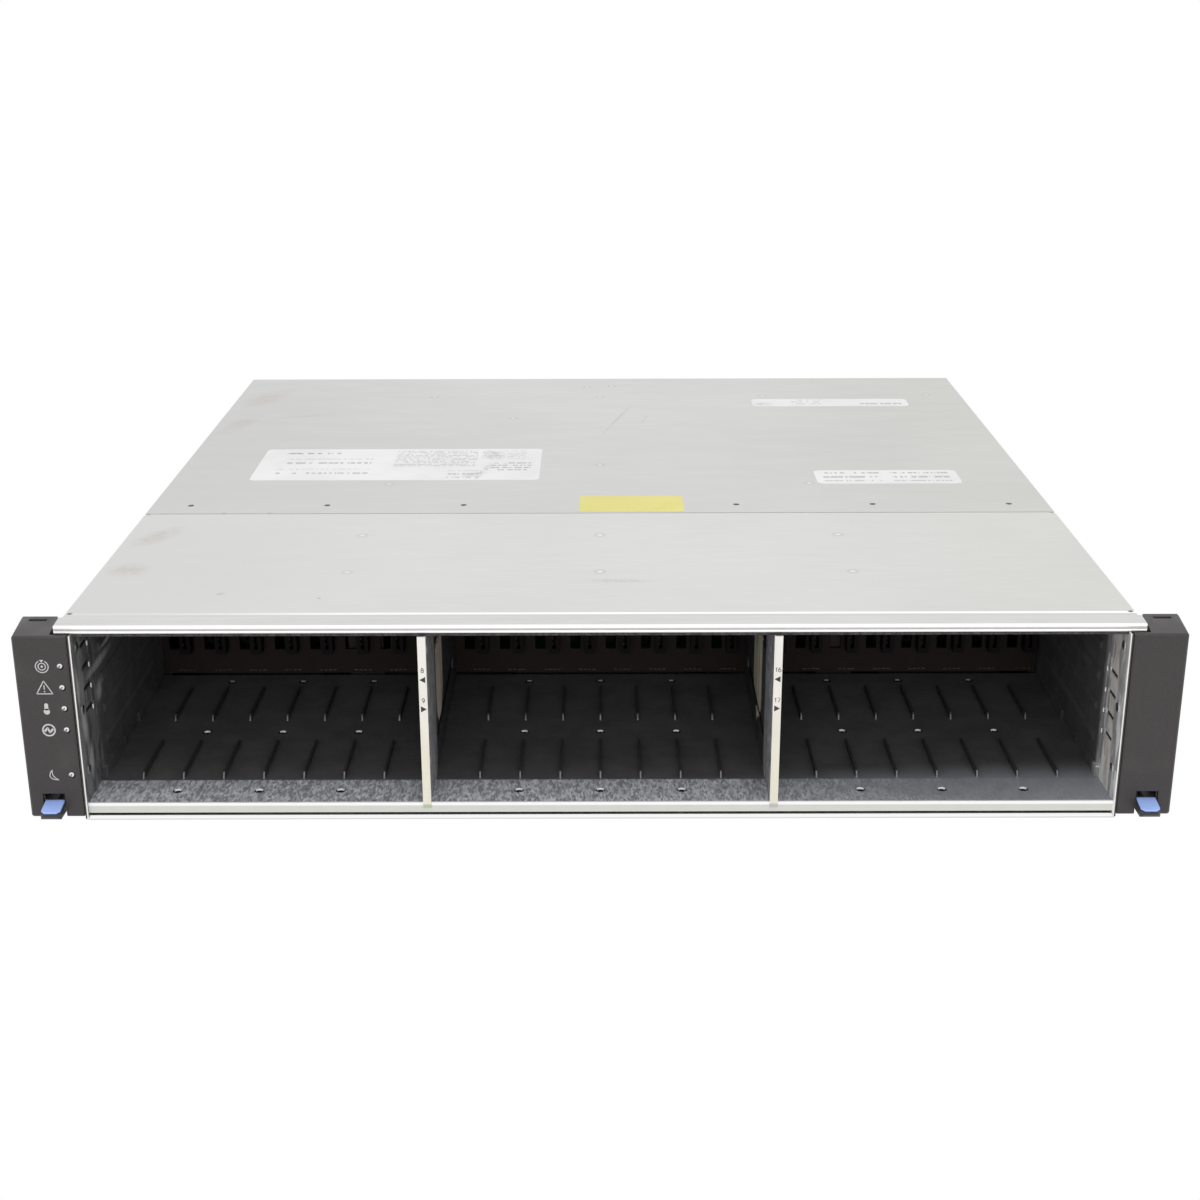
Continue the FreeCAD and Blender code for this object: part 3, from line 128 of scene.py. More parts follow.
class Surface:
    """Closed surfaces gathered for one piece, each worked out as a whole array of points."""

    def __init__(self) -> None:
        """Start with nothing."""
        self.points: list[Array] = []
        self.faces: list[list[int]] = []
        self.count = 0

    def grid(self, points: Array, wrap_u: bool = False, caps: bool = False) -> "Surface":
        """Quads between the neighbours of a grid: (u, v), (u+1, v), (u+1, v+1), (u, v+1).

        Args:
            points: array of shape (u, v, 3), whose last column joins the first.
            wrap_u: join the last row to the first.
            caps: close the first and last rows with a face each.
        Returns:
            This surface, so that calls can follow each other.
        """
        nu, nv = points.shape[:2]
        u = np.arange(nu if wrap_u else nu - 1)[:, None]
        v = np.arange(nv)[None, :]
        up, vp = (u + 1) % nu, (v + 1) % nv
        quads = np.stack([u * nv + v, up * nv + v, up * nv + vp, u * nv + vp], -1).reshape(-1, 4)
        self.faces += (quads + self.count).tolist()
        if caps:
            ring = np.arange(nv) + self.count
            self.faces += [ring.tolist(), (ring + (nu - 1) * nv).tolist()]
        self.points.append(points.reshape(-1, 3))
        self.count += nu * nv
        return self

    def block(self, low: Sequence[float], high: Sequence[float]) -> "Surface":
        """A small flat-sided bar between two corners in millimetres, for contacts and tabs."""
        (x0, y0, z0), (x1, y1, z1) = np.array(low) * MM, np.array(high) * MM
        ring = np.array([(x0, y0, z0), (x1, y0, z0), (x1, y0, z1), (x0, y0, z1)])
        return self.grid(np.stack([ring, ring + (0, y1 - y0, 0)]), caps=True)

    def pins(self, places: Iterable[Sequence[float]], radius: float, length: float, rise: float,
             axis: Sequence[float], sides: int, steps: int = 6) -> "Surface":
        """Round pins with a domed end: place + h axis + r (cos a side + sin a other), where
        r = radius cos b and h = rise sin b over the dome, b from 0 to 90 degrees.

        Args:
            places: where each dome starts.
            radius: of the pin.
            length: of its shank, below the dome.
            rise: of the dome.
            axis: unit vector out of the dome, along Y.
            sides: points round each pin.
            steps: rings on the dome.
        Returns:
            This surface.
        """
        axis = np.asarray(axis, float)
        side = np.cross(axis, (0.0, 0.0, 1.0))
        other = np.cross(axis, side)
        b = np.radians(np.linspace(0, 90, steps))
        r = np.concatenate([[0.0, radius], radius * np.cos(b)])[:, None, None]
        h = np.concatenate([[-length, -length], rise * np.sin(b)])[:, None, None]
        a = np.linspace(0, 2 * np.pi, sides, endpoint=False)[None, :, None]
        pin = h * axis + r * (np.cos(a) * side + np.sin(a) * other)
        for place in places:
            self.grid(np.asarray(place) + pin)
        return self

    def strip(self, *edges: Sequence[Any]) -> "Surface":
        """A bar along four edge lines, each given as x, y and z arrays or numbers."""
        lines = [np.stack(np.broadcast_arrays(*edge), 1) for edge in edges]
        return self.grid(np.stack(lines, 1), caps=True)

    def dished(self, radius: float, height: float, recess: float, centre: Sequence[float],
               axis: Sequence[float], sides: int, rings: int) -> "Surface":
        """A round head with a cross recess: h = height sqrt(1 - .75 r^2), less recess where the
        smaller of |x| and |y| lies inside the cross and r is under half.

        Args:
            radius: of the head.
            height: at its middle.
            recess: depth of the cross; none if zero.
            centre: middle of its seat.
            axis: unit vector away from the seat, along X or Y.
            sides: points round it.
            rings: points from middle to rim.
        Returns:
            This surface.
        """
        axis = np.asarray(axis, float)
        side = np.cross(axis, (0.0, 0.0, 1.0))
        other = np.cross(axis, side)
        r = np.linspace(0, 1, rings)[:, None]
        a = np.linspace(0, 2 * np.pi, sides, endpoint=False)[None, :]
        x, y = r * np.cos(a), r * np.sin(a)
        dome = height * np.sqrt(1 - 0.75 * r ** 2) * np.ones_like(a)
        cross = (np.minimum(np.abs(x), np.abs(y)) < 0.1) & (r < 0.55)
        dome = dome - recess * cross
        xs = np.concatenate([x[:1] * 0, x[-1:], x[::-1]])
        ys = np.concatenate([y[:1] * 0, y[-1:], y[::-1]])
        hs = np.concatenate([x[:1] * 0, x[-1:] * 0, dome[::-1]])
        return self.grid(np.asarray(centre) + hs[..., None] * axis
                         + radius * (xs[..., None] * side + ys[..., None] * other))

    def stroke(self, path: Array, width: float, plane: Plane, thickness: float,
               closed: bool = False) -> "Surface":
        """A printed line: path +- width/2 along its normal, and up by thickness.

        Args:
            path: rows of x and y on the plane.
            width: of the line.
            plane: where it is printed.
            thickness: of the ink.
            closed: the path returns to its start.
        Returns:
            This surface.
        """
        if closed:
            ahead = np.roll(path, -1, 0) - np.roll(path, 1, 0)
        else:
            ahead = np.gradient(path, axis=0)
        ahead /= np.linalg.norm(ahead, axis=1, keepdims=True)
        side = np.stack([-ahead[:, 1], ahead[:, 0]], 1) * width / 2
        left, right = path + side, path - side
        x = np.stack([left[:, 0], left[:, 0], right[:, 0], right[:, 0]], 1)
        y = np.stack([left[:, 1], left[:, 1], right[:, 1], right[:, 1]], 1)
        height = np.array([-thickness, thickness, thickness, -thickness]) / 2 + thickness / 2
        return self.grid(plane.place(x, y, height[None, :]), wrap_u=closed, caps=not closed)

    def patch(self, outline: Array, plane: Plane, thickness: float) -> "Surface":
        """A filled shape on a plane: the outline at height 0 and at thickness, closed."""
        flat = plane.place(outline[:, 0], outline[:, 1], 0.0)
        raised = plane.place(outline[:, 0], outline[:, 1], thickness)
        return self.grid(np.stack([flat, raised]), caps=True)

    def build(self, name: str, crease: float = 40.0) -> bpy.types.Object:
        """The piece as an object: doubles merged, poles closed, faces outward, soft under a crease.

        Args:
            name: of the piece.
            crease: angle in degrees above which an edge stays sharp.
        Returns:
            The object, at the origin.
        """
        mesh = bpy.data.meshes.new(name)
        mesh.from_pydata(np.concatenate(self.points), [], self.faces)
        return Shop.tidy(mesh, name, crease)


def arc(centre: Point, radii: Point, start: float, stop: float, count: int = 20) -> Array:
    """Part of an ellipse: centre + (rx cos a, ry sin a), a in degrees from start to stop."""
    a = np.radians(np.linspace(start, stop, count))
    return np.stack([centre[0] + radii[0] * np.cos(a), centre[1] + radii[1] * np.sin(a)], 1)


def loop(centre: Point, radii: Point, count: int = 28) -> Array:
    """A whole ellipse without its repeated last point."""
    return arc(centre, radii, 0, 360, count + 1)[:-1]


@dataclass
class Pen:
    """Draws printed marks on a plane as raised lines and spots; sizes in millimetres."""

    plane: Plane
    ink: float
    width: float = 0.4
    surface: Surface = field(default_factory=Surface)

    def line(self, path: Sequence[Any] | Array, width: float = 0.0, closed: bool = False) -> None:
        """A line through points, in the pen's width unless one is given."""
        self.surface.stroke(np.asarray(path) * MM, (width or self.width) * MM, self.plane,
                            self.ink * MM, closed)

    def ring(self, radius: float, width: float = 0.0) -> None:
        """A circle about the plane's origin."""
        self.line(loop((0, 0), (radius, radius)), width, True)

    def spot(self, outline: Sequence[Any] | Array) -> None:
        """A filled shape."""
        self.surface.patch(np.asarray(outline) * MM, self.plane, self.ink * MM)


def toned(colour: Colour, factor: float) -> Colour:
    """A colour times a factor, kept under white."""
    return tuple(min(1.0, factor * c) for c in colour)


def rounded(width: float, height: float, radius: float) -> Array:
    """A rectangle about the origin whose corners are quarter circles."""
    x, y = width / 2 - radius, height / 2 - radius
    corners = (((x, y), 0), ((-x, y), 90), ((-x, -y), 180), ((x, -y), 270))
    return np.concatenate([arc(c, (radius, radius), a, a + 90, 6) for c, a in corners])


# ----------------------------------------------------------------------- the bench
@contextmanager
def edited(mesh: bpy.types.Mesh, gap: float) -> Iterator[bmesh.types.BMesh]:
    """A mesh open for edits, with points closer than a gap merged; written back at the end."""
    work = bmesh.new()
    work.from_mesh(mesh)
    bmesh.ops.remove_doubles(work, verts=work.verts, dist=gap)
    yield work
    work.to_mesh(mesh)
    work.free()


class Shop:
    """Turns meshes into pieces that ride on bodies and wear finishes."""

    body_of: dict[str, str] = {node: body for body, nodes in
                               frame["record"]["behaviour"]["bodies"].items() for node in nodes}
    rounded_from: float = 35.0  # edges that turn by more than this are rounded, degrees

    @staticmethod
    def tidy(mesh: bpy.types.Mesh, name: str, crease: float) -> bpy.types.Object:
        """Merge doubles, face outward, shade softly under the crease angle and link the object."""
        with edited(mesh, 1e-6) as work:
            bmesh.ops.dissolve_degenerate(work, edges=work.edges, dist=1e-7)
            bmesh.ops.recalc_face_normals(work, faces=work.faces)
        mesh.polygons.foreach_set("use_smooth", np.ones(len(mesh.polygons), bool))
        mesh.set_sharp_from_angle(angle=math.radians(crease))
        mesh.update()
        piece = bpy.data.objects.new(name, mesh)
        bpy.context.scene.collection.objects.link(piece)
        return piece

    @classmethod
    def add(cls, piece: bpy.types.Object, body: str, finish: "Finish", slot: str,
            replaces: Sequence[str] = ()) -> bpy.types.Object:
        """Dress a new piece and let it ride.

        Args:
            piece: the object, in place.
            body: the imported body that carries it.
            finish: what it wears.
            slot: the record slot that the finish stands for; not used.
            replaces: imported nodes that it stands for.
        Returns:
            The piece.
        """
        piece.data.materials.clear()
        piece.data.materials.append(finish.material)
        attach(piece, body)
        if replaces:
            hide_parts(*replaces)
        LOG.info("%s rides on %s, %d faces", piece.name, body, len(piece.data.polygons))
        return piece

    @classmethod
    def soften(cls, node: str, name: str, width: float, finish: "Finish", slot: str,
               segments: int = 3) -> bpy.types.Object:
        """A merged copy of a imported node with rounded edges, which stands for the node.

        Args:
            node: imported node.
            name: of the new piece.
            width: of the rounded edges.
            finish: what it wears.
            slot: the record slot.
            segments: steps across each rounded edge.
        Returns:
            The new piece.
        """
        mesh = frame["nodes"][node].data.copy()
        with edited(mesh, 2e-6) as work:
            bmesh.ops.dissolve_limit(work, angle_limit=math.radians(1.0), verts=work.verts,
                                     edges=work.edges)
            edges = [e for e in work.edges if len(e.link_faces) == 2
                     and e.calc_face_angle(0.0) > math.radians(cls.rounded_from)]
            bmesh.ops.bevel(work, geom=edges, offset=width, offset_type="OFFSET",
                            segments=segments, profile=0.5, affect="EDGES", clamp_overlap=True)
        piece = cls.tidy(mesh, name, 30.0)
        return cls.add(piece, cls.body_of[node], finish, slot, [node])

    @staticmethod
    def dress(finish: "Finish", *nodes: str) -> None:
        """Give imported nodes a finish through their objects' material slots."""
        for node in nodes:
            for place in frame["nodes"][node].material_slots:
                place.material = finish.material
        LOG.info("%s on %s", finish.name, ", ".join(nodes))


# --------------------------------------------------------------------- node graphs
class Finish:
    """What a surface wears; equal finishes share one material."""

    name: str
    made: dict["Finish", bpy.types.Material] = {}

    def build(self) -> bpy.types.Material:
        """Make the node graph."""
        raise NotImplementedError

    @property
    def material(self) -> bpy.types.Material:
        """The finish's material, made once."""
        if self not in self.made:
            self.made[self] = self.build()
        return self.made[self]


def cleared(owner: Any) -> bpy.types.NodeTree:
    """The empty node tree of a material or world."""
    owner.use_nodes = True
    owner.node_tree.nodes.clear()
    return owner.node_tree


def add_node(tree: bpy.types.NodeTree, kind: str, inputs: Sequence[Any] | dict[Any, Any] = (),
             **settings: Any) -> Any:
    """Add a node; inputs are sockets to link or constants, by order or by name."""
    made = tree.nodes.new(kind)
    for key, value in settings.items():
        setattr(made, key, value)
    for key, value in (inputs.items() if isinstance(inputs, dict) else enumerate(inputs)):
        if isinstance(value, bpy.types.NodeSocket):
            tree.links.new(value, made.inputs[key])
        elif value is not None:
            made.inputs[key].default_value = value
    return made


class Graph:
    """One finish as a node graph, with the sums that finishes share."""

    def __init__(self, name: str, colour: Colour, metallic: float, roughness: float,
                 **sockets: float) -> None:
        """Make the material and its shader, with constants set on the shader's own sockets."""
        self.material = bpy.data.materials.new(name)
        self.material.diffuse_color = (*colour, 1.0)
        self.tree = cleared(self.material)
        inputs = {"Base Color": (*colour, 1.0), "Metallic": metallic, "Roughness": roughness}
        inputs.update((socket.replace("_", " "), value) for socket, value in sockets.items())
        self.shader = self.node("ShaderNodeBsdfPrincipled", inputs)
        self.node("ShaderNodeOutputMaterial", {"Surface": self.shader.outputs["BSDF"]})
        self.where = self.node("ShaderNodeTexCoord").outputs["Object"]
        parts = self.node("ShaderNodeSeparateXYZ", [self.where])
        self.axis = {a: parts.outputs[a.value] for a in Axis}

    def node(self, kind: str, inputs: Sequence[Any] | dict[Any, Any] = (), **settings: Any) -> Any:
        """Add a node to the graph."""
        return add_node(self.tree, kind, inputs, **settings)

    def sum(self, kind: str, a: Any, b: Any = None) -> Any:
        """One sum of two values, such as MULTIPLY or MAXIMUM."""
        return self.node("ShaderNodeMath", [a, b], operation=kind).outputs[0]

    def product(self, first: Any, *rest: Any) -> Any:
        """Values multiplied from left to right."""
        for value in rest:
            first = self.sum("MULTIPLY", first, value)
        return first

    def tint(self, colour: Any, share: Any) -> Any:
        """A colour times a grey."""
        return self.mix(1.0, colour, share, "MULTIPLY")

    def marked(self, colour: Any, marks: Iterable["Mark"]) -> Any:
        """A colour with marks laid over it in order."""
        for mark in marks:
            colour = mark.over(self, colour)
        return colour

    def span(self, value: Any, low: float, high: float, start: float = 0.0,
             stop: float = 1.0) -> Any:
        """A smooth step from start to stop as value goes from low to high."""
        return self.node("ShaderNodeMapRange", [value, low, high, start, stop],
                         interpolation_type="SMOOTHSTEP").outputs[0]

    def band(self, axis: Axis, low: float, high: float, edge: float = 0.0003) -> Any:
        """One between low and high along an axis, zero outside, all in metres."""
        rise = self.span(self.axis[axis], low - edge, low + edge)
        fall = self.span(self.axis[axis], high - edge, high + edge, 1.0, 0.0)
        return self.product(rise, fall)

    def mix(self, share: Any, a: Any, b: Any, mode: str = "MIX") -> Any:
        """Two colours mixed by a share; a colour is a socket or three numbers."""
        def full(c: Any) -> Any:
            """Add alpha to three numbers."""
            return (*c, 1.0) if isinstance(c, tuple) else c
        made = self.node("ShaderNodeMix", {0: share, 6: full(a), 7: full(b)}, data_type="RGBA",
                         blend_type=mode)
        return made.outputs[2]

    def stretched(self, scale: Sequence[float], turn: Sequence[float] = (0, 0, 0),
                  centre: Sequence[float] = (0, 0, 0)) -> Any:
        """Object coordinates measured from a centre, turned about the axes, in units of scale."""
        inputs = [self.where, tuple(centre), tuple(turn), tuple(scale)]
        return self.node("ShaderNodeMapping", inputs, vector_type="TEXTURE").outputs[0]

    def noise(self, scale: float, detail: float = 3.0,
              stretch: Sequence[float] = (1, 1, 1)) -> Any:
        """Smooth noise about 0.5, scale features to the metre."""
        inputs = {"Vector": self.stretched(stretch), "Scale": scale, "Detail": detail}
        return self.node("ShaderNodeTexNoise", inputs).outputs["Fac"]

    def vary(self, scale: float, low: float, high: float, detail: float = 3.0,
             stretch: Sequence[float] = (1, 1, 1)) -> Any:
        """A value that wanders from low to high in smooth noise."""
        return self.span(self.noise(scale, detail, stretch), 0.3, 0.7, low, high)

    def cells(self, scale: float, stretch: Sequence[float] = (1, 1, 1)) -> Any:
        """A random grey for each crystal of a zinc coat."""
        made = self.node("ShaderNodeTexVoronoi",
                         {"Vector": self.stretched(stretch), "Scale": scale})
        return self.node("ShaderNodeSeparateColor", [made.outputs["Color"]]).outputs[0]

    def near(self, points: Iterable[Point], facing: Axis) -> Any:
        """Distance to the closest of some points, in metres, in the plane that faces an axis."""
        closest: Any = None
        for point in points:
            middle, scale = [0.0] * 3, [1.0] * 3
            scale[facing.value] = 1000.0
            for axis, value in zip([a.value for a in Axis if a is not facing], point):
                middle[axis] = value * MM
            at = self.stretched(scale, centre=middle)
            r = self.node("ShaderNodeVectorMath", [at], operation="LENGTH").outputs["Value"]
            closest = r if closest is None else self.sum("MINIMUM", closest, r)
        return closest

    def rough(self, value: Any) -> None:
        """Link the roughness."""
        self.tree.links.new(value, self.shader.inputs["Roughness"])

    def paint(self, value: Any) -> None:
        """Link the colour."""
        self.tree.links.new(value, self.shader.inputs["Base Color"])

    def bump(self, height: Any, strength: float, distance: float) -> None:
        """Raise the surface by a height field."""
        made = self.node("ShaderNodeBump", {"Strength": strength, "Distance": distance,
                                            "Height": height})
        self.tree.links.new(made.outputs[0], self.shader.inputs["Normal"])


@dataclass(frozen=True)
class Blot:
    """A stain, scratch, scuff, painted highlight or spot of painted shade on a flat sheet: an
    ellipse with a ragged edge.
    """

    centre: Point
    half: Point
    turn: float
    colour: Colour
    strength: float
    ragged: float = 0.5
    grain: float = 220.0
    facing: Axis = Axis.Z

    def over(self, graph: Graph, colour: Any) -> Any:
        """The sheet's colour with this mark: strength (1 - r) times noise, r from the ellipse."""
        middle, half, turn = [0.0] * 3, [10.0] * 3, [0.0] * 3
        others = [a.value for a in Axis if a is not self.facing]
        for axis, c, h in zip(others, self.centre, self.half):
            middle[axis], half[axis] = c * MM, h * MM
        turn[self.facing.value] = math.radians(self.turn)
        local = graph.stretched(half, turn, middle)
        r = graph.node("ShaderNodeVectorMath", [local], operation="LENGTH").outputs["Value"]
        share = graph.span(r, 0.25, 1.0, self.strength, 0.0)
        if self.ragged:
            grain = graph.span(graph.noise(self.grain), 0.5 - 0.22 / (self.ragged + 0.2), 0.62)
            share = graph.product(share, grain)
        return graph.mix(share, colour, self.colour)


@dataclass(frozen=True)
class Band:
    """A stripe between two places along an axis, such as a painted highlight on a bend or a line of
    painted shade.
    """

    axis: Axis
    low: float
    high: float
    colour: Colour
    strength: float = 1.0
    edge: float = 0.3

    def over(self, graph: Graph, colour: Any) -> Any:
        """The sheet's colour with this stripe."""
        share = graph.band(self.axis, self.low * MM, self.high * MM, self.edge * MM)
        return graph.mix(graph.product(share, self.strength), colour, self.colour)


@dataclass(frozen=True)
class Rub:
    """A tall pool of painted light on an upright sheet, pointed at its foot where painted shade
    cuts it off, with streaks up and down.
    """

    start: float
    stop: float
    bottom: float
    colour: Colour

    def over(self, graph: Graph, colour: Any) -> Any:
        """Share = band along Y, drawn in towards its middle below the foot, times streaks."""
        middle = (self.start + self.stop) / 2
        away = graph.sum("ABSOLUTE", graph.sum("SUBTRACT", graph.axis[Axis.Y], middle * MM))
        width = graph.span(graph.axis[Axis.Z], (self.bottom - 2) * MM, (self.bottom + 16) * MM, 0.0,
                           (self.stop - self.start) / 2 * MM)
        inside = graph.span(graph.sum("SUBTRACT", away, width), -2.0 * MM, 0.5 * MM, 1.0, 0.0)
        streak = graph.span(graph.noise(260.0, 3.0, (1, 1, 9)), 0.3, 0.6, 0.45, 1.0)
        foot = graph.span(graph.axis[Axis.Z], (self.bottom - 1) * MM, (self.bottom + 2) * MM)
        return graph.mix(graph.product(inside, foot, streak), colour, self.colour)


@dataclass(frozen=True)
class Pocket:
    """A place between two corners that little light reaches."""

    low: Corner
    high: Corner
    colour: Colour = PAINTED_SHADE

    def over(self, graph: Graph, colour: Any) -> Any:
        """The sheet's colour, replaced inside the box: share = the product of three bands."""
        share: Any = 1.0
        for axis, low, high in zip(Axis, self.low, self.high):
            share = graph.product(graph.band(axis, low * MM, high * MM), share)
        return graph.mix(share, colour, self.colour)


Mark = Blot | Band | Rub | Pocket


@dataclass(frozen=True)
class SheetSteel(Finish):
    """Zinc-coated sheet: soft clouds, rolling grain along X, crystals, painted shade and highlight
    at weld dimples, and marks.
    """

    name: str
    colour: Colour
    metallic: float = 0.85
    roughness: float = 0.42
    clouds: float = 0.05
    grain: float = 0.035
    crystals: float = 0.0
    drift: tuple[Axis, float, float, Colour] | None = None
    dimples: tuple[Point, ...] = ()
    marks: tuple[Mark, ...] = ()

    def build(self) -> bpy.types.Material:
        """Colour = base x clouds x grain x crystals, then drift, painted dimple shade and
        highlights, and marks on top.
        """
        g = Graph(self.name, self.colour, self.metallic, self.roughness)
        soft = g.vary(9.0, 1 - self.clouds, 1 + self.clouds, 4.0)
        fine = g.vary(420.0, 1 - self.grain, 1 + self.grain, 2.0, (9.0, 1.0, 1.0))
        shade = g.product(soft, fine)
        if self.crystals:
            crystal = g.span(g.cells(260.0), 0.0, 1.0, 1 - self.crystals, 1 + self.crystals)
            shade = g.product(shade, crystal)
        base: Any = self.colour
        if self.drift:
            axis, low, high, far = self.drift
            base = g.mix(g.span(g.axis[axis], low * MM, high * MM), self.colour, far)
        colour = g.tint(base, shade)
        if self.dimples:
            # Weld dimples are painted: a ring of painted shade round a painted highlight in each
            # middle.
            near = g.near(self.dimples, Axis.Z)
            ring = g.product(g.span(near, 1.1 * MM, 2.0 * MM),
                             g.span(near, 2.1 * MM, 3.6 * MM, 1, 0), 0.3)
            colour = g.mix(ring, colour, (0.38, 0.38, 0.37))
            colour = g.mix(g.span(near, 0.2 * MM, 1.3 * MM, 0.8, 0.0), colour, (0.95, 0.95, 0.94))
        g.paint(g.marked(colour, self.marks))
        g.rough(g.vary(60.0, self.roughness - 0.05, self.roughness + 0.07, 4.0, (3.0, 1.0, 1.0)))
        g.bump(g.noise(700.0, 2.0, (6.0, 1.0, 1.0)), 0.04, 0.0002)
        return g.material


@dataclass(frozen=True)
class CageSteel(Finish):
    """Spangled cage sheet: lit and clean in front, painted shade further in."""

    name: str
    front: Colour
    # Painted shade: the tone beyond the border along Y, where the front's light gives out.
    deep: Colour
    border: float
    fade: float = 1.2
    streaks: Corner = (1, 1, 1)
    marks: tuple[Mark, ...] = ()
    metallic: float = 0.3

    def build(self) -> bpy.types.Material:
        """Colour = front crystals and painted sparkle flecks up to the border, painted shade
        beyond, then marks on top.
        """
        g = Graph(self.name, self.front, self.metallic, 0.5, Specular_IOR_Level=0.25)
        crystal = g.span(g.cells(1200.0, self.streaks), 0.0, 1.0, 0.6, 1.42)
        cloud = g.vary(260.0, 0.85, 1.15, 3.0, self.streaks)
        # Bright flecks are painted sparkle on the spangle.
        sparkle = g.span(g.noise(1300.0, 2.0, self.streaks), 0.63, 0.72, 0.0, 0.7)
        bright = g.tint(self.front, g.product(crystal, cloud))
        bright = g.mix(sparkle, bright, toned(self.front, 2.2))
        shaded = g.tint(self.deep, g.vary(70.0, 0.88, 1.12, 4.0))
        near, far = (self.border - self.fade) * MM, (self.border + self.fade) * MM
        colour = g.mix(g.span(g.axis[Axis.Y], near, far), bright, shaded)
        g.paint(g.marked(colour, self.marks))
        g.rough(g.vary(150.0, 0.42, 0.62))
        return g.material


@dataclass(frozen=True)
class Moulding(Finish):
    """Moulded plastic: fine sparked grain and faint handling marks where slow noise is high."""

    name: str
    colour: Colour
    roughness: float = 0.5
    grain: float = 0.12
    wear: Colour | None = None
    specular: float = 0.4

    def build(self) -> bpy.types.Material:
        """Colour = base x fine noise, with rubbed places where slow noise is high."""
        g = Graph(self.name, self.colour, 0.0, self.roughness, Specular_IOR_Level=self.specular)
        fine = g.vary(1500.0, 1 - self.grain, 1 + self.grain, 2.0)
        colour = g.tint(self.colour, fine)
        if self.wear:
            colour = g.mix(g.span(g.noise(55.0, 5.0), 0.56, 0.8, 0.0, 0.55), colour, self.wear)
        g.paint(colour)
        g.rough(g.vary(40.0, self.roughness - 0.06, self.roughness + 0.08, 4.0))
        g.bump(g.noise(2200.0, 2.0), 0.12, 0.0002)
        return g.material


@dataclass(frozen=True)
class PrintBlock:
    """A place on a label with rows of faint bars in place of words."""

    low: Point
    high: Point
    row: float
    strength: float


@dataclass(frozen=True)
class Paper(Finish):
    """Printed paper label, a little cockled, with faint bars and handling marks."""

    name: str
    colour: Colour
    blocks: tuple[PrintBlock, ...] = ()
    marks: tuple[Mark, ...] = ()

    def build(self) -> bpy.types.Material:
        """Colour = paper, darker where a block, a row and a run of bars meet."""
        g = Graph(self.name, self.colour, 0.0, 0.55, Specular_IOR_Level=0.3)
        colour = g.tint(self.colour, g.vary(30.0, 0.95, 1.03, 4.0))
        for b in self.blocks:
            inside = g.product(g.band(Axis.X, b.low[0] * MM, b.high[0] * MM),
                               g.band(Axis.Y, b.low[1] * MM, b.high[1] * MM))
            step = g.sum("FRACT", g.sum("DIVIDE", g.axis[Axis.Y], b.row * MM))
            rows = g.product(g.span(step, 0.25, 0.35), g.span(step, 0.65, 0.75, 1.0, 0.0))
            runs = g.span(g.noise(600.0, 1.0, (1.0, b.row, 1.0)), 0.42, 0.52)
            colour = g.mix(g.product(inside, rows, runs, b.strength), colour, (0.2, 0.2, 0.21))
        g.paint(g.marked(colour, self.marks))
        g.bump(g.noise(60.0, 3.0), 0.1, 0.0005)
        return g.material


@dataclass(frozen=True)
class Board(Finish):
    """Glass-fibre board under solder mask, with traces; parts above its top, in millimetres, are
    black or tinned."""

    name: str
    mask: Colour
    top: float = 1000.0
    parts: Colour = (0.03, 0.03, 0.032)
    gloss: float = 0.5
    sink: tuple[Point, Point] | None = None
    traces: float = 0.5
    stretch: Corner = (1, 1, 6)

    def build(self) -> bpy.types.Material:
        """Colour = mask, lighter traces where stretched cells meet, other tones above the top."""
        g = Graph(self.name, self.mask, 0.0, 0.35, Specular_IOR_Level=self.gloss)
        cell = g.node("ShaderNodeTexVoronoi", {"Vector": g.stretched(self.stretch), "Scale": 240.0},
                      feature="DISTANCE_TO_EDGE")
        trace = g.span(cell.outputs["Distance"], 0.04, 0.09, self.traces, 0.0)
        colour = g.mix(trace, self.mask, toned(self.mask, 1.9))
        above = g.span(g.axis[Axis.Z], self.top * MM, (self.top + 0.2) * MM)
        parts: Any = self.parts
        if self.sink:
            (x0, y0), (x1, y1) = self.sink
            metal = g.product(g.band(Axis.X, x0 * MM, x1 * MM), g.band(Axis.Y, y0 * MM, y1 * MM))
            parts = g.mix(metal, self.parts, (0.55, 0.56, 0.57))
        colour = g.mix(above, colour, parts)
        g.paint(colour)
        g.rough(g.vary(200.0, 0.3, 0.5))
        return g.material


@dataclass(frozen=True)
class Clear(Finish):
    """Clear or lit moulding; end on, a light pipe gets a painted highlight: a bright crescent
    inside a dark rim.
    """

    name: str
    colour: Colour
    through: float = 0.35
    pipes: tuple[Point, ...] = ()

    def build(self) -> bpy.types.Material:
        """Colour = base, a little cloudier in slow noise; a painted highlight crescent where r is
        near 0.8 mm.
        """
        g = Graph(self.name, self.colour, 0.0, 0.1, Transmission_Weight=self.through,
                  Coat_Weight=0.5, Coat_Roughness=0.05)
        colour = g.mix(g.vary(900.0, 0.0, 0.3), self.colour, toned(self.colour, 0.75))
        # The crescent on each pipe's end is a painted highlight.
        if self.pipes:
            r = g.near([(x + 0.3, z + 0.2) for x, z in self.pipes], Axis.Y)
            low = g.near([(x - 0.5, z - 1.0) for x, z in self.pipes], Axis.Y)
            crescent_highlight = g.product(g.span(r, 0.3 * MM, 0.6 * MM),
                              g.span(r, 0.85 * MM, 1.15 * MM, 1, 0),
                              g.span(low, 0.7 * MM, 1.3 * MM))
            colour = g.mix(crescent_highlight, colour, (0.95, 0.95, 0.95))
        g.paint(colour)
        return g.material


@dataclass(frozen=True)
class Plated(Finish):
    """Small plated or gilt metal: fasteners, contacts and connector cages."""

    name: str
    colour: Colour
    roughness: float = 0.32

    def build(self) -> bpy.types.Material:
        """Colour = base x fine noise, roughness in slow noise."""
        g = Graph(self.name, self.colour, 1.0, self.roughness)
        g.paint(g.tint(self.colour, g.vary(800.0, 0.88, 1.1)))
        g.rough(g.vary(350.0, self.roughness - 0.07, self.roughness + 0.1))
        return g.material


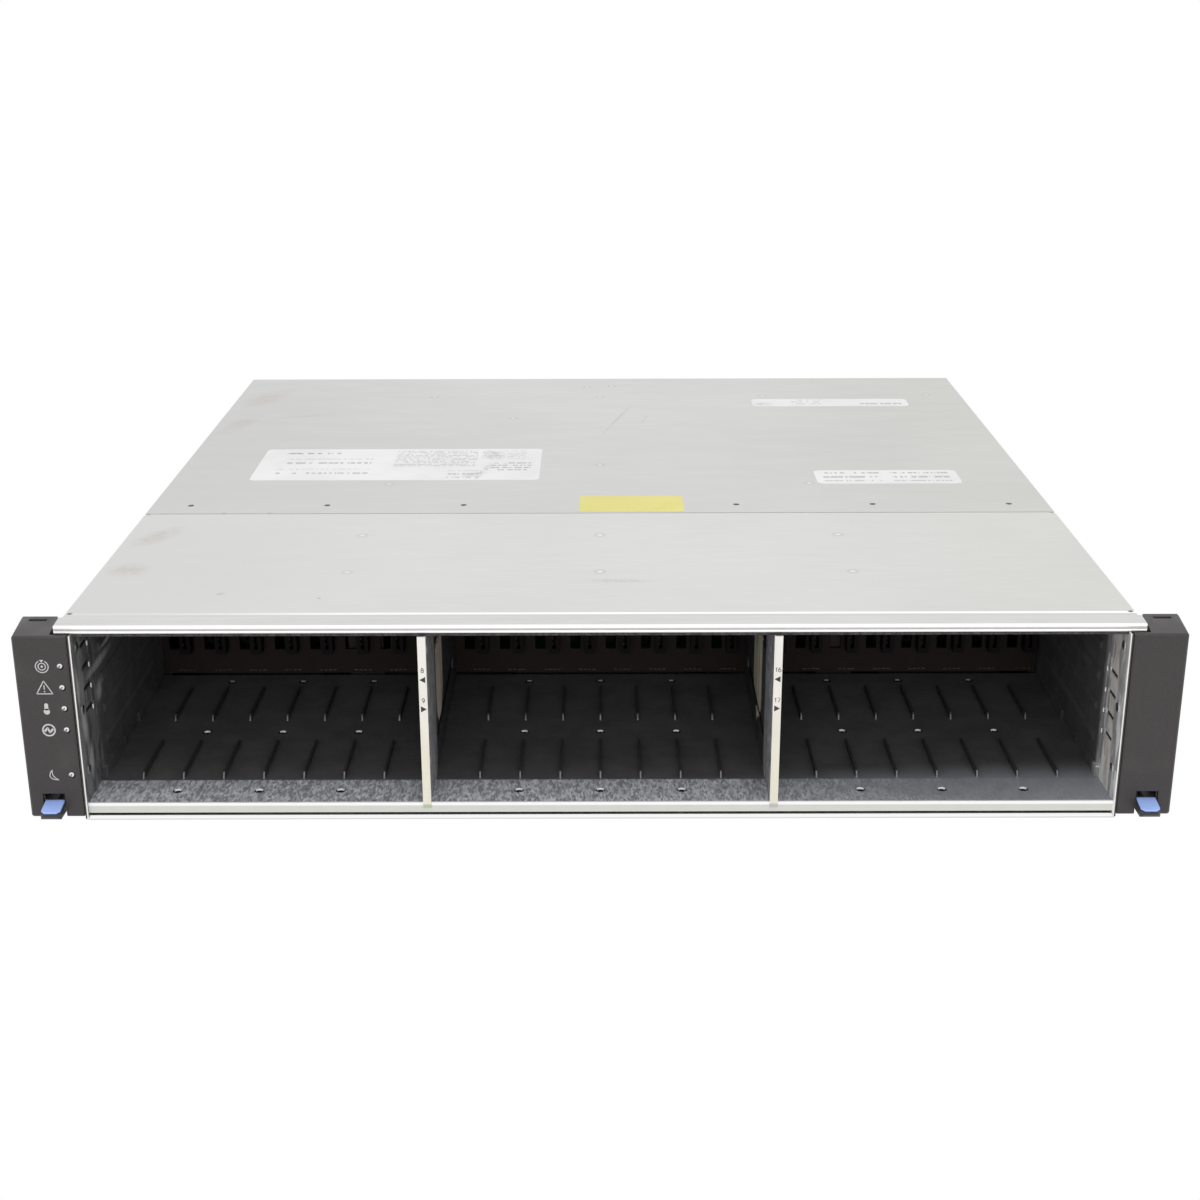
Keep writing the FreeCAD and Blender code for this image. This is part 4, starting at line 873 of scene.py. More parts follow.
@dataclass(frozen=True)
class Ink(Finish):
    """Printing ink: one tone, slightly uneven."""

    name: str
    colour: Colour

    def build(self) -> bpy.types.Material:
        """Colour = base x fine noise."""
        g = Graph(self.name, self.colour, 0.0, 0.5)
        g.paint(g.tint(self.colour, g.vary(2500.0, 0.85, 1.1)))
        return g.material


@dataclass(frozen=True)
class StripCream(Finish):
    """Cream plastic, yellower towards its foot, which has a colour of its own."""

    name: str
    foot: Colour

    def build(self) -> bpy.types.Material:
        """Colour = yellow to cream up the strip x slow noise, then the foot."""
        g = Graph(self.name, (0.86, 0.82, 0.74), 0.0, 0.45)
        up = g.axis[Axis.Z]
        tone = g.mix(g.span(up, 0.02, 0.075), (0.84, 0.80, 0.68), (0.88, 0.85, 0.80))
        tone = g.tint(tone, g.vary(120.0, 0.95, 1.04, 4.0, (1, 1, 3)))
        g.paint(g.mix(g.span(up, 0.0068, 0.0074, 0.8, 0.0), tone, self.foot))
        g.bump(g.noise(400.0), 0.05, 0.0002)
        return g.material


# -------------------------------------------------------------------------- studio
@dataclass(frozen=True)
class Lamp:
    """A square soft lamp that faces a point, in metres and watts; without glare, gloss doesn't
    mirror it."""

    name: str
    place: Corner
    aim: Corner
    size: float
    power: float
    glare: bool = True

    def build(self) -> None:
        """Hang the lamp: its own Z runs from the aim to the place."""
        data = bpy.data.lights.new(self.name, "AREA")
        data.shape = "SQUARE"
        data.size = self.size
        data.energy = self.power
        lamp = bpy.data.objects.new(self.name, data)
        back = np.array(self.place) - np.array(self.aim)
        back /= np.linalg.norm(back)
        side = np.cross((0.0, 1.0, 0.0) if abs(back[2]) > 0.9 else (0.0, 0.0, 1.0), back)
        side /= np.linalg.norm(side)
        world = np.eye(4)
        world[:3, :3] = np.column_stack([side, np.cross(back, side), back])
        world[:3, 3] = self.place
        lamp.matrix_world = Matrix(world.tolist())
        lamp.visible_glossy = self.glare
        bpy.context.scene.collection.objects.link(lamp)


@dataclass
class Studio:
    """Camera, soft light and pale floor; angles in degrees, focal length in millimetres."""

    position: Corner = (0.0005, -0.9142, 0.3447)
    focal_length: float = 54.48
    pitch: float = 19.70
    yaw: float = -0.04
    roll: float = -0.15
    sky: float = 0.62
    lamps: tuple[Lamp, ...] = (
        Lamp("top_light", (0.0, -0.25, 2.1), (0.0, 0.0, 0.0), 2.2, 15.0),
        Lamp("front_light", (0.0, -2.4, 0.85), (0.0, -0.15, 0.05), 1.3, 20.0, False))
    floor_half: float = 6.0
    floor_drop: float = 0.0004
    floor_tone: float = 0.86
    floor_glow: float = 0.74
    floor_shadow: float = 0.36

    def camera(self) -> None:
        """Level view along +Y, then yaw, pitch down and roll: R = roll pitch yaw."""
        pitch, yaw, roll = (math.radians(a) for a in (self.pitch, self.yaw, self.roll))
        c, s = math.cos(pitch), math.sin(pitch)
        tilt = np.array([[1, 0, 0], [0, -s, -c], [0, c, -s]])
        turn, lean = (np.array([[math.cos(a), -math.sin(a), 0], [math.sin(a), math.cos(a), 0],
                                [0, 0, 1]]) for a in (yaw, roll))
        rows = lean @ tilt @ turn
        world = np.eye(4)
        world[:3, :3] = np.column_stack([rows[0], -rows[1], -rows[2]])
        world[:3, 3] = self.position
        data = bpy.data.cameras.new("camera")
        data.lens = self.focal_length
        data.sensor_width = 36.0
        data.clip_start = 0.01
        camera = bpy.data.objects.new("camera", data)
        camera.matrix_world = Matrix(world.tolist())
        bpy.context.scene.collection.objects.link(camera)
        bpy.context.scene.camera = camera

    @staticmethod
    def seen(tree: bpy.types.NodeTree) -> Any:
        """One for rays from the camera, in gloss or through glass, zero for the rest."""
        path = add_node(tree, "ShaderNodeLightPath")
        most: Any = path.outputs["Is Camera Ray"]
        for name in ("Is Glossy Ray", "Is Transmission Ray"):
            most = add_node(tree, "ShaderNodeMath", [most, path.outputs[name]],
                            operation="MAXIMUM").outputs[0]
        return most

    def world(self) -> None:
        """White to the camera, in gloss and through glass; softer for matt surfaces."""
        world = bpy.data.worlds.new("studio")
        tree = cleared(world)
        level = add_node(tree, "ShaderNodeMapRange", {"Value": self.seen(tree),
                                                      "To Min": self.sky, "To Max": 1.0})
        light = add_node(tree, "ShaderNodeBackground", {"Color": (1.0, 1.0, 1.0, 1.0),
                                                        "Strength": level.outputs[0]})
        add_node(tree, "ShaderNodeOutputWorld", {"Surface": light.outputs[0]})
        bpy.context.scene.world = world

    def floor(self) -> None:
        """A wide pale sheet, white to the camera with the object's soft shadow kept."""
        half, drop = self.floor_half, -self.floor_drop
        mesh = bpy.data.meshes.new("floor")
        corners = [(x * half, y * half, drop) for x, y in ((-1, -1), (1, -1), (1, 1), (-1, 1))]
        mesh.from_pydata(corners, [], [(0, 1, 2, 3)])
        floor = bpy.data.objects.new("floor", mesh)
        bpy.context.scene.collection.objects.link(floor)
        material = bpy.data.materials.new("pale_floor")
        tree = cleared(material)
        matt, soft = (add_node(tree, "ShaderNodeBsdfDiffuse",
                               {"Color": (tone, tone, tone, 1.0)}).outputs[0]
                      for tone in (self.floor_tone, self.floor_shadow))
        glow = add_node(tree, "ShaderNodeEmission", {"Strength": self.floor_glow}).outputs[0]
        bright = add_node(tree, "ShaderNodeAddShader", [glow, soft]).outputs[0]
        choose = add_node(tree, "ShaderNodeMixShader", [self.seen(tree), matt, bright])
        add_node(tree, "ShaderNodeOutputMaterial", {"Surface": choose.outputs[0]})
        mesh.materials.append(material)

    def build(self) -> None:
        """Camera first, then light and floor."""
        self.camera()
        self.world()
        for lamp in self.lamps:
            lamp.build()
        bpy.context.scene.view_settings.view_transform = "Standard"
        LOG.info("studio is set")


# -------------------------------------------------------------------------- covers
TORN: Colour = (0.5, 0.5, 0.5)


@dataclass(frozen=True)
class Sticker:
    """A thin plain label on the rear cover, between two corners, with a rounded outline."""

    name: str
    paper: str
    low: Point
    high: Point
    corner: float
    colour: Colour = (0.86, 0.86, 0.86)
    bars: tuple[PrintBlock, ...] = ()
    marks: tuple[Mark, ...] = ()
    top: float = 86.4 * MM
    proud: float = 0.05 * MM

    def add(self, body: str) -> None:
        """Lay the label half in the cover, so that it stands proud by as much as it is sunk."""
        (x0, y0), (x1, y1) = self.low, self.high
        centre = ((x0 + x1) / 2 * MM, (y0 + y1) / 2 * MM, self.top - self.proud)
        outline = rounded((x1 - x0) * MM, (y1 - y0) * MM, self.corner * MM)
        piece = Surface().patch(outline, Plane(centre, (1, 0, 0), (0, 1, 0)), 2 * self.proud)
        Shop.add(piece.build(self.name), body,
                 Paper(self.paper, self.colour, self.bars, self.marks), "strip_plastic")


@dataclass
class Covers:
    """Both top sheets, with their weld dimples, stains, scratches and plain stickers."""

    body: str = "shelf"
    front_dimples: tuple[Point, ...] = ((-111.5, -102.3), (0.0, -102.3), (111.5, -102.3),
                                        (-111.5, -155.8), (0.0, -155.8), (111.5, -155.8))
    rear_dimples: tuple[Point, ...] = (
        (-108.4, -15.1), (0.0, 20.5), (107.5, -15.2), (-201.5, 178.8), (-101.3, 177.7),
        (-8.1, 203.8), (7.3, 206.4), (99.6, 178.2), (200.6, 179.8), (-50.9, 124.1), (0.0, 176.6))
    rust: Colour = (0.50, 0.44, 0.38)
    dark: Colour = (0.36, 0.35, 0.34)
    rail_tone: Colour = (0.645, 0.645, 0.635)
    stickers: tuple[Sticker, ...] = (
        Sticker("large_blank_label", "large_label_paper", (-182, -8), (-31.6, 54), 3.0,
                bars=(PrintBlock((-170, 44), (-140, 50), 6.0, 0.75),
                      PrintBlock((-168, 24), (-122, 34), 10.0, 0.5),
                      PrintBlock((-172, 4), (-122, 14), 10.0, 0.45),
                      PrintBlock((-110, 18), (-66, 52), 3.0, 0.55),
                      PrintBlock((-64, 34), (-40, 52), 3.0, 0.4),
                      PrintBlock((-80, -4), (-62, 10), 7.0, 0.5),
                      PrintBlock((-58, 8), (-36, 26), 4.5, 0.65)),
                marks=(Blot((-58, 40), (6, 13), 15, TORN, 0.9, 1.0),
                       Blot((-61, 10), (2.5, 22), -12, TORN, 0.75, 1.0),
                       Blot((-66, 2), (10, 5), 40, TORN, 0.6, 1.0))),
        Sticker("narrow_blank_label", "narrow_label_paper", (92, 151.4), (186, 170), 3.5,
                bars=(PrintBlock((116, 154), (134, 168), 5.0, 0.4),
                      PrintBlock((156, 154), (182, 162), 7.0, 0.55)),
                marks=(Blot((98, 158), (8, 7), 0, TORN, 0.5, 1.0),)),
        Sticker("side_blank_label", "side_label_paper", (112, -16.5), (186.5, 9), 3.5,
                bars=(PrintBlock((116, -12), (146, 5), 8.0, 0.5),
                      PrintBlock((152, -12), (182, 5), 8.0, 0.5))),
        Sticker("plain_yellow_label", "yellow_label_paper", (-10, -64.4), (41.3, -38), 0.8,
                (0.80, 0.74, 0.25),
                marks=(Blot((30, -60), (12, 4), 0, (0.7, 0.6, 0.2), 0.4, 0.8),)))

    def front_finish(self) -> SheetSteel:
        """Front panel: near-white satin sheet with brown smears at its left rear corner."""
        blots = (Blot((-230, -150), (170, 160), 0, (0.645, 0.645, 0.64), 0.9, 0.0),
                 Blot((-207, -103), (9, 22), -28, self.rust, 0.42),
                 Blot((-209, -152), (12, 12), 20, self.rust, 0.45),
                 Blot((8, -168), (20, 3), -4, self.dark, 0.35, 1.0, 600.0),
                 Blot((-162, -184), (3, 2), 30, self.dark, 0.5),
                 Blot((-119, -190), (1.4, 1.2), 0, self.dark, 0.6, 0.0),
                 # Dark spots at the panel's two corner notches are painted shade.
                 Blot((-219.6, -208.4), (1.6, 1.6), 0, (0.06, 0.06, 0.06), 1.0, 0.0),
                 Blot((219.6, -208.2), (1.6, 1.6), 0, (0.06, 0.06, 0.06), 1.0, 0.0))
        # The rail-tone band meets the rail; the pale band behind it is a painted highlight on the
        # panel's edge, where it steps down onto the rail.
        joint_and_highlight = (Band(Axis.Y, -213.0, -210.0, self.rail_tone),
                 Band(Axis.Y, -210.1, -207.7, (0.98, 0.98, 0.97)))
        return SheetSteel("front_panel_sheet", (0.68, 0.68, 0.675), clouds=0.018, grain=0.012,
                          drift=(Axis.X, 50.0, 200.0, (0.655, 0.66, 0.63)),
                          dimples=self.front_dimples, marks=joint_and_highlight + blots)

    def rear_finish(self) -> SheetSteel:
        """Rear cover: a shade greyer, stained and scratched."""
        blots = (Blot((-230, 60), (170, 260), 0, (0.585, 0.585, 0.58), 0.9, 0.0),
                 Blot((-203, 176), (12, 30), -22, self.rust, 0.38),
                 Blot((-208, 112), (9, 30), -18, self.rust, 0.4),
                 Blot((-176, 128), (26, 3), 18, self.dark, 0.22, 0.6),
                 Blot((10, 120), (1.2, 52), -14, self.dark, 0.42, 0.9, 500.0),
                 Blot((26, 121), (0.9, 15), -13, self.dark, 0.35, 0.9, 500.0),
                 Blot((44, 60), (70, 40), 10, (0.60, 0.60, 0.585), 0.25, 0.8, 40.0),
                 Blot((-183.4, -66.0), (2.0, 0.9), 0, self.dark, 0.8, 0.0),
                 Blot((-161.0, -66.0), (2.0, 0.9), 0, self.dark, 0.8, 0.0),
                 Blot((-150, -50), (60, 8), 2, (0.62, 0.61, 0.585), 0.3, 0.8, 60.0))
        return SheetSteel("rear_cover_sheet", (0.625, 0.625, 0.62), clouds=0.022, grain=0.012,
                          drift=(Axis.X, 50.0, 220.0, (0.60, 0.605, 0.575)),
                          dimples=self.rear_dimples, marks=blots)

    def build(self) -> None:
        """Dress the sheets and lay the stickers."""
        Shop.dress(self.front_finish(), "front_top_panel")
        Shop.dress(self.rear_finish(), "rear_top_cover")
        for sticker in self.stickers:
            sticker.add(self.body)


@dataclass
class FrontRail:
    """Rolled rail over the opening: two round beads in front, a flat top, a channel behind."""

    half: float = 223.0 * MM
    front: float = -224.0 * MM
    back: float = -212.6 * MM
    bottom: float = 83.3 * MM
    top: float = 86.4 * MM
    slot: float = 0.6 * MM
    groove: float = 1.0 * MM
    sheet: float = 1.2 * MM
    edge: float = 0.9 * MM

    def outline(self) -> Array:
        """Section in Y and Z: two stacked leaves with round noses, r = leaf / 2, a web between."""
        leaf = (self.top - self.bottom - self.slot) / 2
        r = leaf / 2
        low, high = self.bottom + leaf, self.top - leaf
        web = self.front + self.groove
        lower = arc((self.front + r, self.bottom + r), (r, r), 270, 90, 9)
        upper = arc((self.front + r, self.top - r), (r, r), 270, 90, 9)
        behind = np.array([(self.back, self.top), (self.back, high), (web + self.sheet, high),
                           (web + self.sheet, low), (self.back, low), (self.back, self.bottom)])
        return np.concatenate([lower, [(web, low), (web, high)], upper, behind])

    def build(self) -> None:
        """Carry the section along X; both ends are drawn in towards the nose."""
        yz = self.outline()
        nose = np.clip((self.back - yz[:, 0]) / (self.back - self.front), 0, 1) ** 6
        x = self.half - self.edge * nose
        ends = np.stack([-x, x])
        points = np.stack([ends, *(np.broadcast_to(yz[:, k], ends.shape) for k in (0, 1))], -1)
        piece = Surface().grid(points, caps=True).build("rolled_front_rail", 50)
        # The white band over the bead noses is a painted highlight; the grey band across the groove
        # between the beads is painted shade.
        white: Colour = (1.0, 0.995, 0.99)
        marks = (Blot((-150, -217), (60, 4), 0, (0.6, 0.59, 0.56), 0.3, 0.8, 60.0),
                 Band(Axis.Y, -300.0, -222.2, white, edge=0.4),
                 Band(Axis.Z, 84.5, 85.2, (0.7, 0.69, 0.69), edge=0.1))
        finish = SheetSteel("rail_sheet", (0.655, 0.655, 0.645), 0.45, 0.36, clouds=0.03,
                            grain=0.02, marks=marks)
        Shop.add(piece, "shelf", finish, "rail_steel", ["top_front_rail"])


# ---------------------------------------------------------------------- drive cage
SHADE: Colour = (0.06, 0.06, 0.062)


@dataclass
class DriveCage:
    """Floor, ceiling, walls and dividers of the drive bays, with lanced tabs and hole collars."""

    floor_top: float = 7.5
    hole_rows: tuple[float, ...] = (-212.7, -151.5, -90.7)
    # Where each row's painted highlight starts behind the hole, and how bright it is.
    hole_tones: tuple[Point, ...] = ((0.4, 0.98), (0.8, 0.9), (1.0, 0.3))
    hole_xs: tuple[float, ...] = (-34.7, 0.0, 34.7)
    guide_tips: tuple[float, ...] = (-200.8, -138.0)
    collar: tuple[Point, ...] = ((1.62, 0.16), (1.8, 0.22), (2.0, 0.16), (2.08, 0.0),
                                 (1.75, -0.9), (1.45, -1.15), (1.33, -1.15), (1.42, -0.6))
    nose: dict[str, float] = field(default_factory=lambda: {
        "start": -0.3, "reach": 1.6, "rise": 2.8, "half": 0.28, "thick": 0.3})
    tongue: dict[str, float] = field(default_factory=lambda: {
        "lift": 0.2, "bow": 1.4, "half": 0.95, "thick": 0.45})
    wall: float = 215.2
    faces: tuple[float, ...] = (-189.0, -200.8, -138.0)
    # Each wall's lit front tone and its tone beyond the border: painted light and painted shade.
    wall_tones: dict[Side, tuple[Colour, Colour]] = field(default_factory=lambda: {
        Side.LEFT: ((0.20, 0.20, 0.205), (0.13, 0.13, 0.13)),
        Side.RIGHT: ((0.86, 0.86, 0.86), (0.13, 0.128, 0.135))})
    # Lit front tone of each divider, painted light; beyond its border the divider takes painted
    # shade.
    divider_tones: dict[Side, Colour] = field(default_factory=lambda: {
        Side.LEFT: (0.30, 0.30, 0.31), Side.RIGHT: (0.34, 0.34, 0.36)})
    # Painted pools of light on the dividers' inner faces.
    rubs: dict[Side, Rub] = field(default_factory=lambda: {
        Side.LEFT: Rub(-188.0, -156.0, 19.0, (0.95, 0.81, 0.70)),
        Side.RIGHT: Rub(-175.0, -134.0, 14.0, (1.0, 0.93, 0.70))})
    louvre_zs: dict[Side, tuple[float, ...]] = field(default_factory=lambda: {
        Side.LEFT: (73.5, 64.0, 54.5, 45.0), Side.RIGHT: (59.1, 49.6, 40.1, 30.6)})
    tongues: dict[Side, Point] = field(default_factory=lambda: {
        Side.LEFT: (-203.2, -208.4), Side.RIGHT: (-201.6, -203.6)})

    def hole_collars(self) -> None:
        """A drawn collar in each floor hole: a cone, r from 2.08 to 1.33, round lipped, with a
        painted highlight across its rear and painted shade elsewhere.
        """
        surface = Surface()
        profile = np.array(self.collar) * MM
        a = np.linspace(0, 2 * np.pi, 20, endpoint=False)[:, None]
        # Painted highlight across each collar's rear, by row; painted shade below the floor.
        back = tuple(Band(Axis.Y, y + start, y + 2.4, (tone,) * 3, edge=0.1)
                     for y, (start, tone) in zip(self.hole_rows, self.hole_tones))
        back += (Band(Axis.Z, 0.0, self.floor_top - 0.55, (0.015, 0.015, 0.015), edge=0.1),)
        for x in [s + h for s in SECTIONS for h in self.hole_xs]:
            for y in self.hole_rows:
                r, h = profile[None, :, 0], profile[None, :, 1] * np.ones_like(a)
                points = np.stack([x * MM + r * np.cos(a), y * MM + r * np.sin(a),
                                   self.floor_top * MM + h], -1)
                surface.grid(points, wrap_u=True)
        zinc = CageSteel("collar_zinc", (0.02, 0.02, 0.02), (0.02, 0.02, 0.02), -202.1, marks=back)
        Shop.add(surface.build("floor_hole_collars"), "shelf", zinc, "cage_steel")

    def guide_noses(self) -> None:
        """A bent nose on the front of every drive guide: a thin bar bowed up and back."""
        surface = Surface()
        t = np.linspace(0, 1, 6)
        start, reach, rise, half, thick = (k * MM for k in self.nose.values())
        for centre in SECTIONS:
            for k in range(1, BAYS):
                x = (centre + (k - BAYS / 2) * PITCH) * MM
                for y in self.guide_tips:
                    ys = y * MM + start + reach * t
                    zs = self.floor_top * MM + rise * np.sin(t * math.pi / 2)
                    behind, under = ys + thick, zs - thick * t
                    surface.strip((x - half, ys, zs), (x + half, ys, zs),
                                  (x + half, behind, under), (x - half, behind, under))
        Shop.add(surface.build("guide_noses"), "shelf",
                 Plated("guide_nose_zinc", (0.23, 0.23, 0.235), 0.45), "cage_steel")

    def louvre_tongues(self, side: Side) -> None:
        """A lanced tongue in each wall louvre, raised into the cage by lift + bow sin(90 t)."""
        surface = Surface()
        t = np.linspace(0, 1, 8)
        s = side.value
        root, tip = self.tongues[side]
        lift, bow, half, thick = self.tongue.values()
        for z in self.louvre_zs[side]:
            x = s * (self.wall - lift - bow * np.sin(t * math.pi / 2)) * MM
            y = (root + (tip - root) * t) * MM
            low, high, back = (z - half) * MM, (z + half) * MM, x + thick * MM * s
            surface.strip((x, y, low), (x, y, high), (back, y, high), (back, y, low))
        # The pale band at each tongue's tip is a painted highlight, and its two tones are painted
        # light and painted shade.
        zinc = CageSteel(f"{side.word}_tongue_zinc", (0.3, 0.3, 0.3), (0.2, 0.2, 0.2), -190.0,
                         marks=(Band(Axis.Y, -230.0, tip + 0.7, (0.95, 0.95, 0.95)),))
        Shop.add(surface.build(f"{side.word}_louvre_tongues"), "shelf", zinc, "cage_steel")

    def specks(self, side: Side) -> tuple[Mark, ...]:
        """Painted highlights at the ends of the divider's own tabs, seen on its inner face near the
        front.
        """
        places = {Side.LEFT: ((-222.6, 75.5), (-222.6, 26.0), (-201.0, 9.5)),
                  Side.RIGHT: ((-211.4, 71.0), (-210.0, 17.5), (-201.0, 9.5))}[side]
        return tuple(Blot(place, (1.4, 3.0), 0, (0.95, 0.95, 0.95), 0.9, 0.0, facing=Axis.X)
                     for place in places)

    def glints(self) -> tuple[Mark, ...]:
        """Light that runs along the left wall's ribs and folds."""
        shapes = (((-190.0, 58.0), (26.0, 3.0), 0), ((-172.0, 63.5), (24.0, 2.0), 0),
                  ((-193.0, 46.0), (7.0, 6.0), 20), ((-218.0, 40.0), (5.0, 11.0), 12),
                  ((-213.0, 22.0), (4.0, 10.0), -8), ((-222.0, 58.0), (2.5, 12.0), 0))
        return tuple(Blot(*shape, (0.62, 0.62, 0.63), 0.8, 0.2, 300.0, Axis.X) for shape in shapes)

    def floor_sheet(self) -> CageSteel:
        """Grey spangle with a painted highlight on the lip in front, duller to the right, painted
        shade on the guides and further in.
        """
        marks = (Blot((200.0, -212.0), (170.0, 30.0), 0, (0.36, 0.375, 0.41), 0.9, 0.0),
                 Band(Axis.Z, 7.75, 12.0, SHADE, edge=0.1),
                 Band(Axis.Y, -300.0, -223.85, (0.98, 0.98, 0.98), edge=0.15),
                 Band(Axis.Z, -1.0, 6.4, (0.69, 0.69, 0.65), edge=0.3))
        # The grey tone beyond the border at -202.1 is painted shade.
        return CageSteel("cage_floor_zinc", (0.55, 0.565, 0.60), (0.125, 0.125, 0.127), -202.1,
                         0.7, (1, 3, 1), marks)

    def wall_sheet(self, side: Side) -> CageSteel:
        """A side wall: its own painted light, a painted highlight on the front bend, painted shade
        beyond the border and shadow lines at the folds.
        """
        light = self.glints() if side is Side.LEFT else (
            Band(Axis.Y, -219.5, -215.0, (0.42, 0.42, 0.42), 0.6, 1.2),
            Band(Axis.Y, -214.0, -207.0, (0.9, 0.8, 0.68), 0.6, 1.5))
        outer = sorted((side.value * (self.wall + 0.55), side.value * (self.wall + 3.0)))
        # A painted highlight on the front bend and painted shade in the fold beyond the wall's
        # face.
        bend = (Band(Axis.Y, -300.0, -225.8, (0.9, 0.88, 0.84), edge=0.15),
                Band(Axis.X, *outer, SHADE, edge=0.1))
        lines = tuple(Band(Axis.Y, y - 0.25, y + 0.1, SHADE, 0.8, 0.05) for y in self.faces)
        return CageSteel(f"{side.word}_wall_zinc", *self.wall_tones[side], -196.5, 3.5,
                         (3, 3, 14), (*light, *bend, *lines))

    def divider_sheet(self, side: Side) -> CageSteel:
        """A divider: a painted pool of light, painted highlights at the ends of its own tabs and
        painted shade beyond the border.
        """
        return CageSteel(f"{side.word}_divider_zinc", self.divider_tones[side],
                         (0.07, 0.07, 0.075), -191.5, 1.2, (1, 1, 4),
                         (self.rubs[side], *self.specks(side)))

    def build(self) -> None:
        """Dress the cage and add its small pieces: hole collars, guide noses and louvre tongues."""
        # The ceiling's near-black tones are painted shade.
        ceiling = CageSteel("cage_ceiling_zinc", (0.06, 0.055, 0.055), (0.05, 0.045, 0.045),
                            -210.0, 6.0)
        Shop.dress(self.floor_sheet(), "drive_cage_floor")
        Shop.dress(ceiling, "drive_cage_ceiling")
        for side in Side:
            Shop.dress(self.wall_sheet(side), f"{side.word}_cage_wall")
            Shop.dress(self.divider_sheet(side), f"{side.word}_bay_divider")
        self.hole_collars()
        self.guide_noses()
        for side in Side:
            self.louvre_tongues(side)


@dataclass
class BayStrips:
    """Cream number strips on the dividers: bay numbers with a pointer to each bay."""

    face: float = -225.3 * MM
    ink: float = 0.04
    line: float = 0.26
    xs: dict[Side, float] = field(default_factory=lambda: {Side.LEFT: -72.725, Side.RIGHT: 72.725})
    numbers: dict[Side, tuple[str, str]] = field(default_factory=lambda: {
        Side.LEFT: ("8", "9"), Side.RIGHT: ("16", "17")})
    feet: dict[Side, Colour] = field(default_factory=lambda: {
        Side.LEFT: (0.40, 0.50, 0.28), Side.RIGHT: (0.45, 0.47, 0.47)})
    number_zs: tuple[float, float] = (67.6, 54.2)
    pointer_zs: tuple[float, float] = (63.4, 50.4)
    size: float = 1.95
    advance: float = 0.72
    pointer: Corner = (1.3, 1.1, 1.35)

    @staticmethod
    def digit(figure: str) -> list[tuple[Array, bool]]:
        """Strokes of a figure in a box 0.6 wide and 1 high, each with whether it closes."""
        strokes = {
            "1": [(np.array([(-0.14, 0.74), (0.06, 0.98), (0.06, 0.0)]), False)],
            "6": [(loop((0, 0.3), (0.26, 0.3)), True),
                  (arc((0.2, 0.36), (0.46, 0.62), 180, 100, 10), False)],
            "7": [(np.array([(-0.28, 0.97), (0.28, 0.97), (-0.06, 0.0)]), False)],
            "8": [(loop((0, 0.27), (0.28, 0.27)), True), (loop((0, 0.77), (0.22, 0.22)), True)],
            "9": [(loop((0, 0.7), (0.26, 0.3)), True),
                  (arc((-0.2, 0.64), (0.46, 0.62), 0, -80, 10), False)],
        }
        return strokes[figure]

    def marks(self, side: Side) -> None:
        """Print the two numbers and their pointers; the upper points left, the lower right."""
        plane = Plane((self.xs[side] * MM, self.face, 0.0), (1, 0, 0), (0, 0, 1))
        pen = Pen(plane, self.ink, self.line)
        for text, z in zip(self.numbers[side], self.number_zs):
            for i, figure in enumerate(text):
                x = (i - (len(text) - 1) / 2) * self.advance * self.size
                for path, closed in self.digit(figure):
                    pen.line(path * self.size + (x, z - self.size / 2), closed=closed)
        ahead, behind, half = self.pointer
        for sense, z in zip((-1, 1), self.pointer_zs):
            pen.spot([(sense * ahead, z), (-sense * behind, z + half),
                      (-sense * behind, z - half)])
        Shop.add(pen.surface.build(f"{side.word}_bay_numbers"), "shelf",
                 Ink(f"{side.word}_strip_ink", (0.03, 0.03, 0.032)), "strip_plastic")

    def build(self) -> None:
        """Dress and print both strips."""
        for side in Side:
            Shop.dress(StripCream(f"{side.word}_strip_cream", self.feet[side]),
                       f"{side.word}_divider_strip")
            self.marks(side)


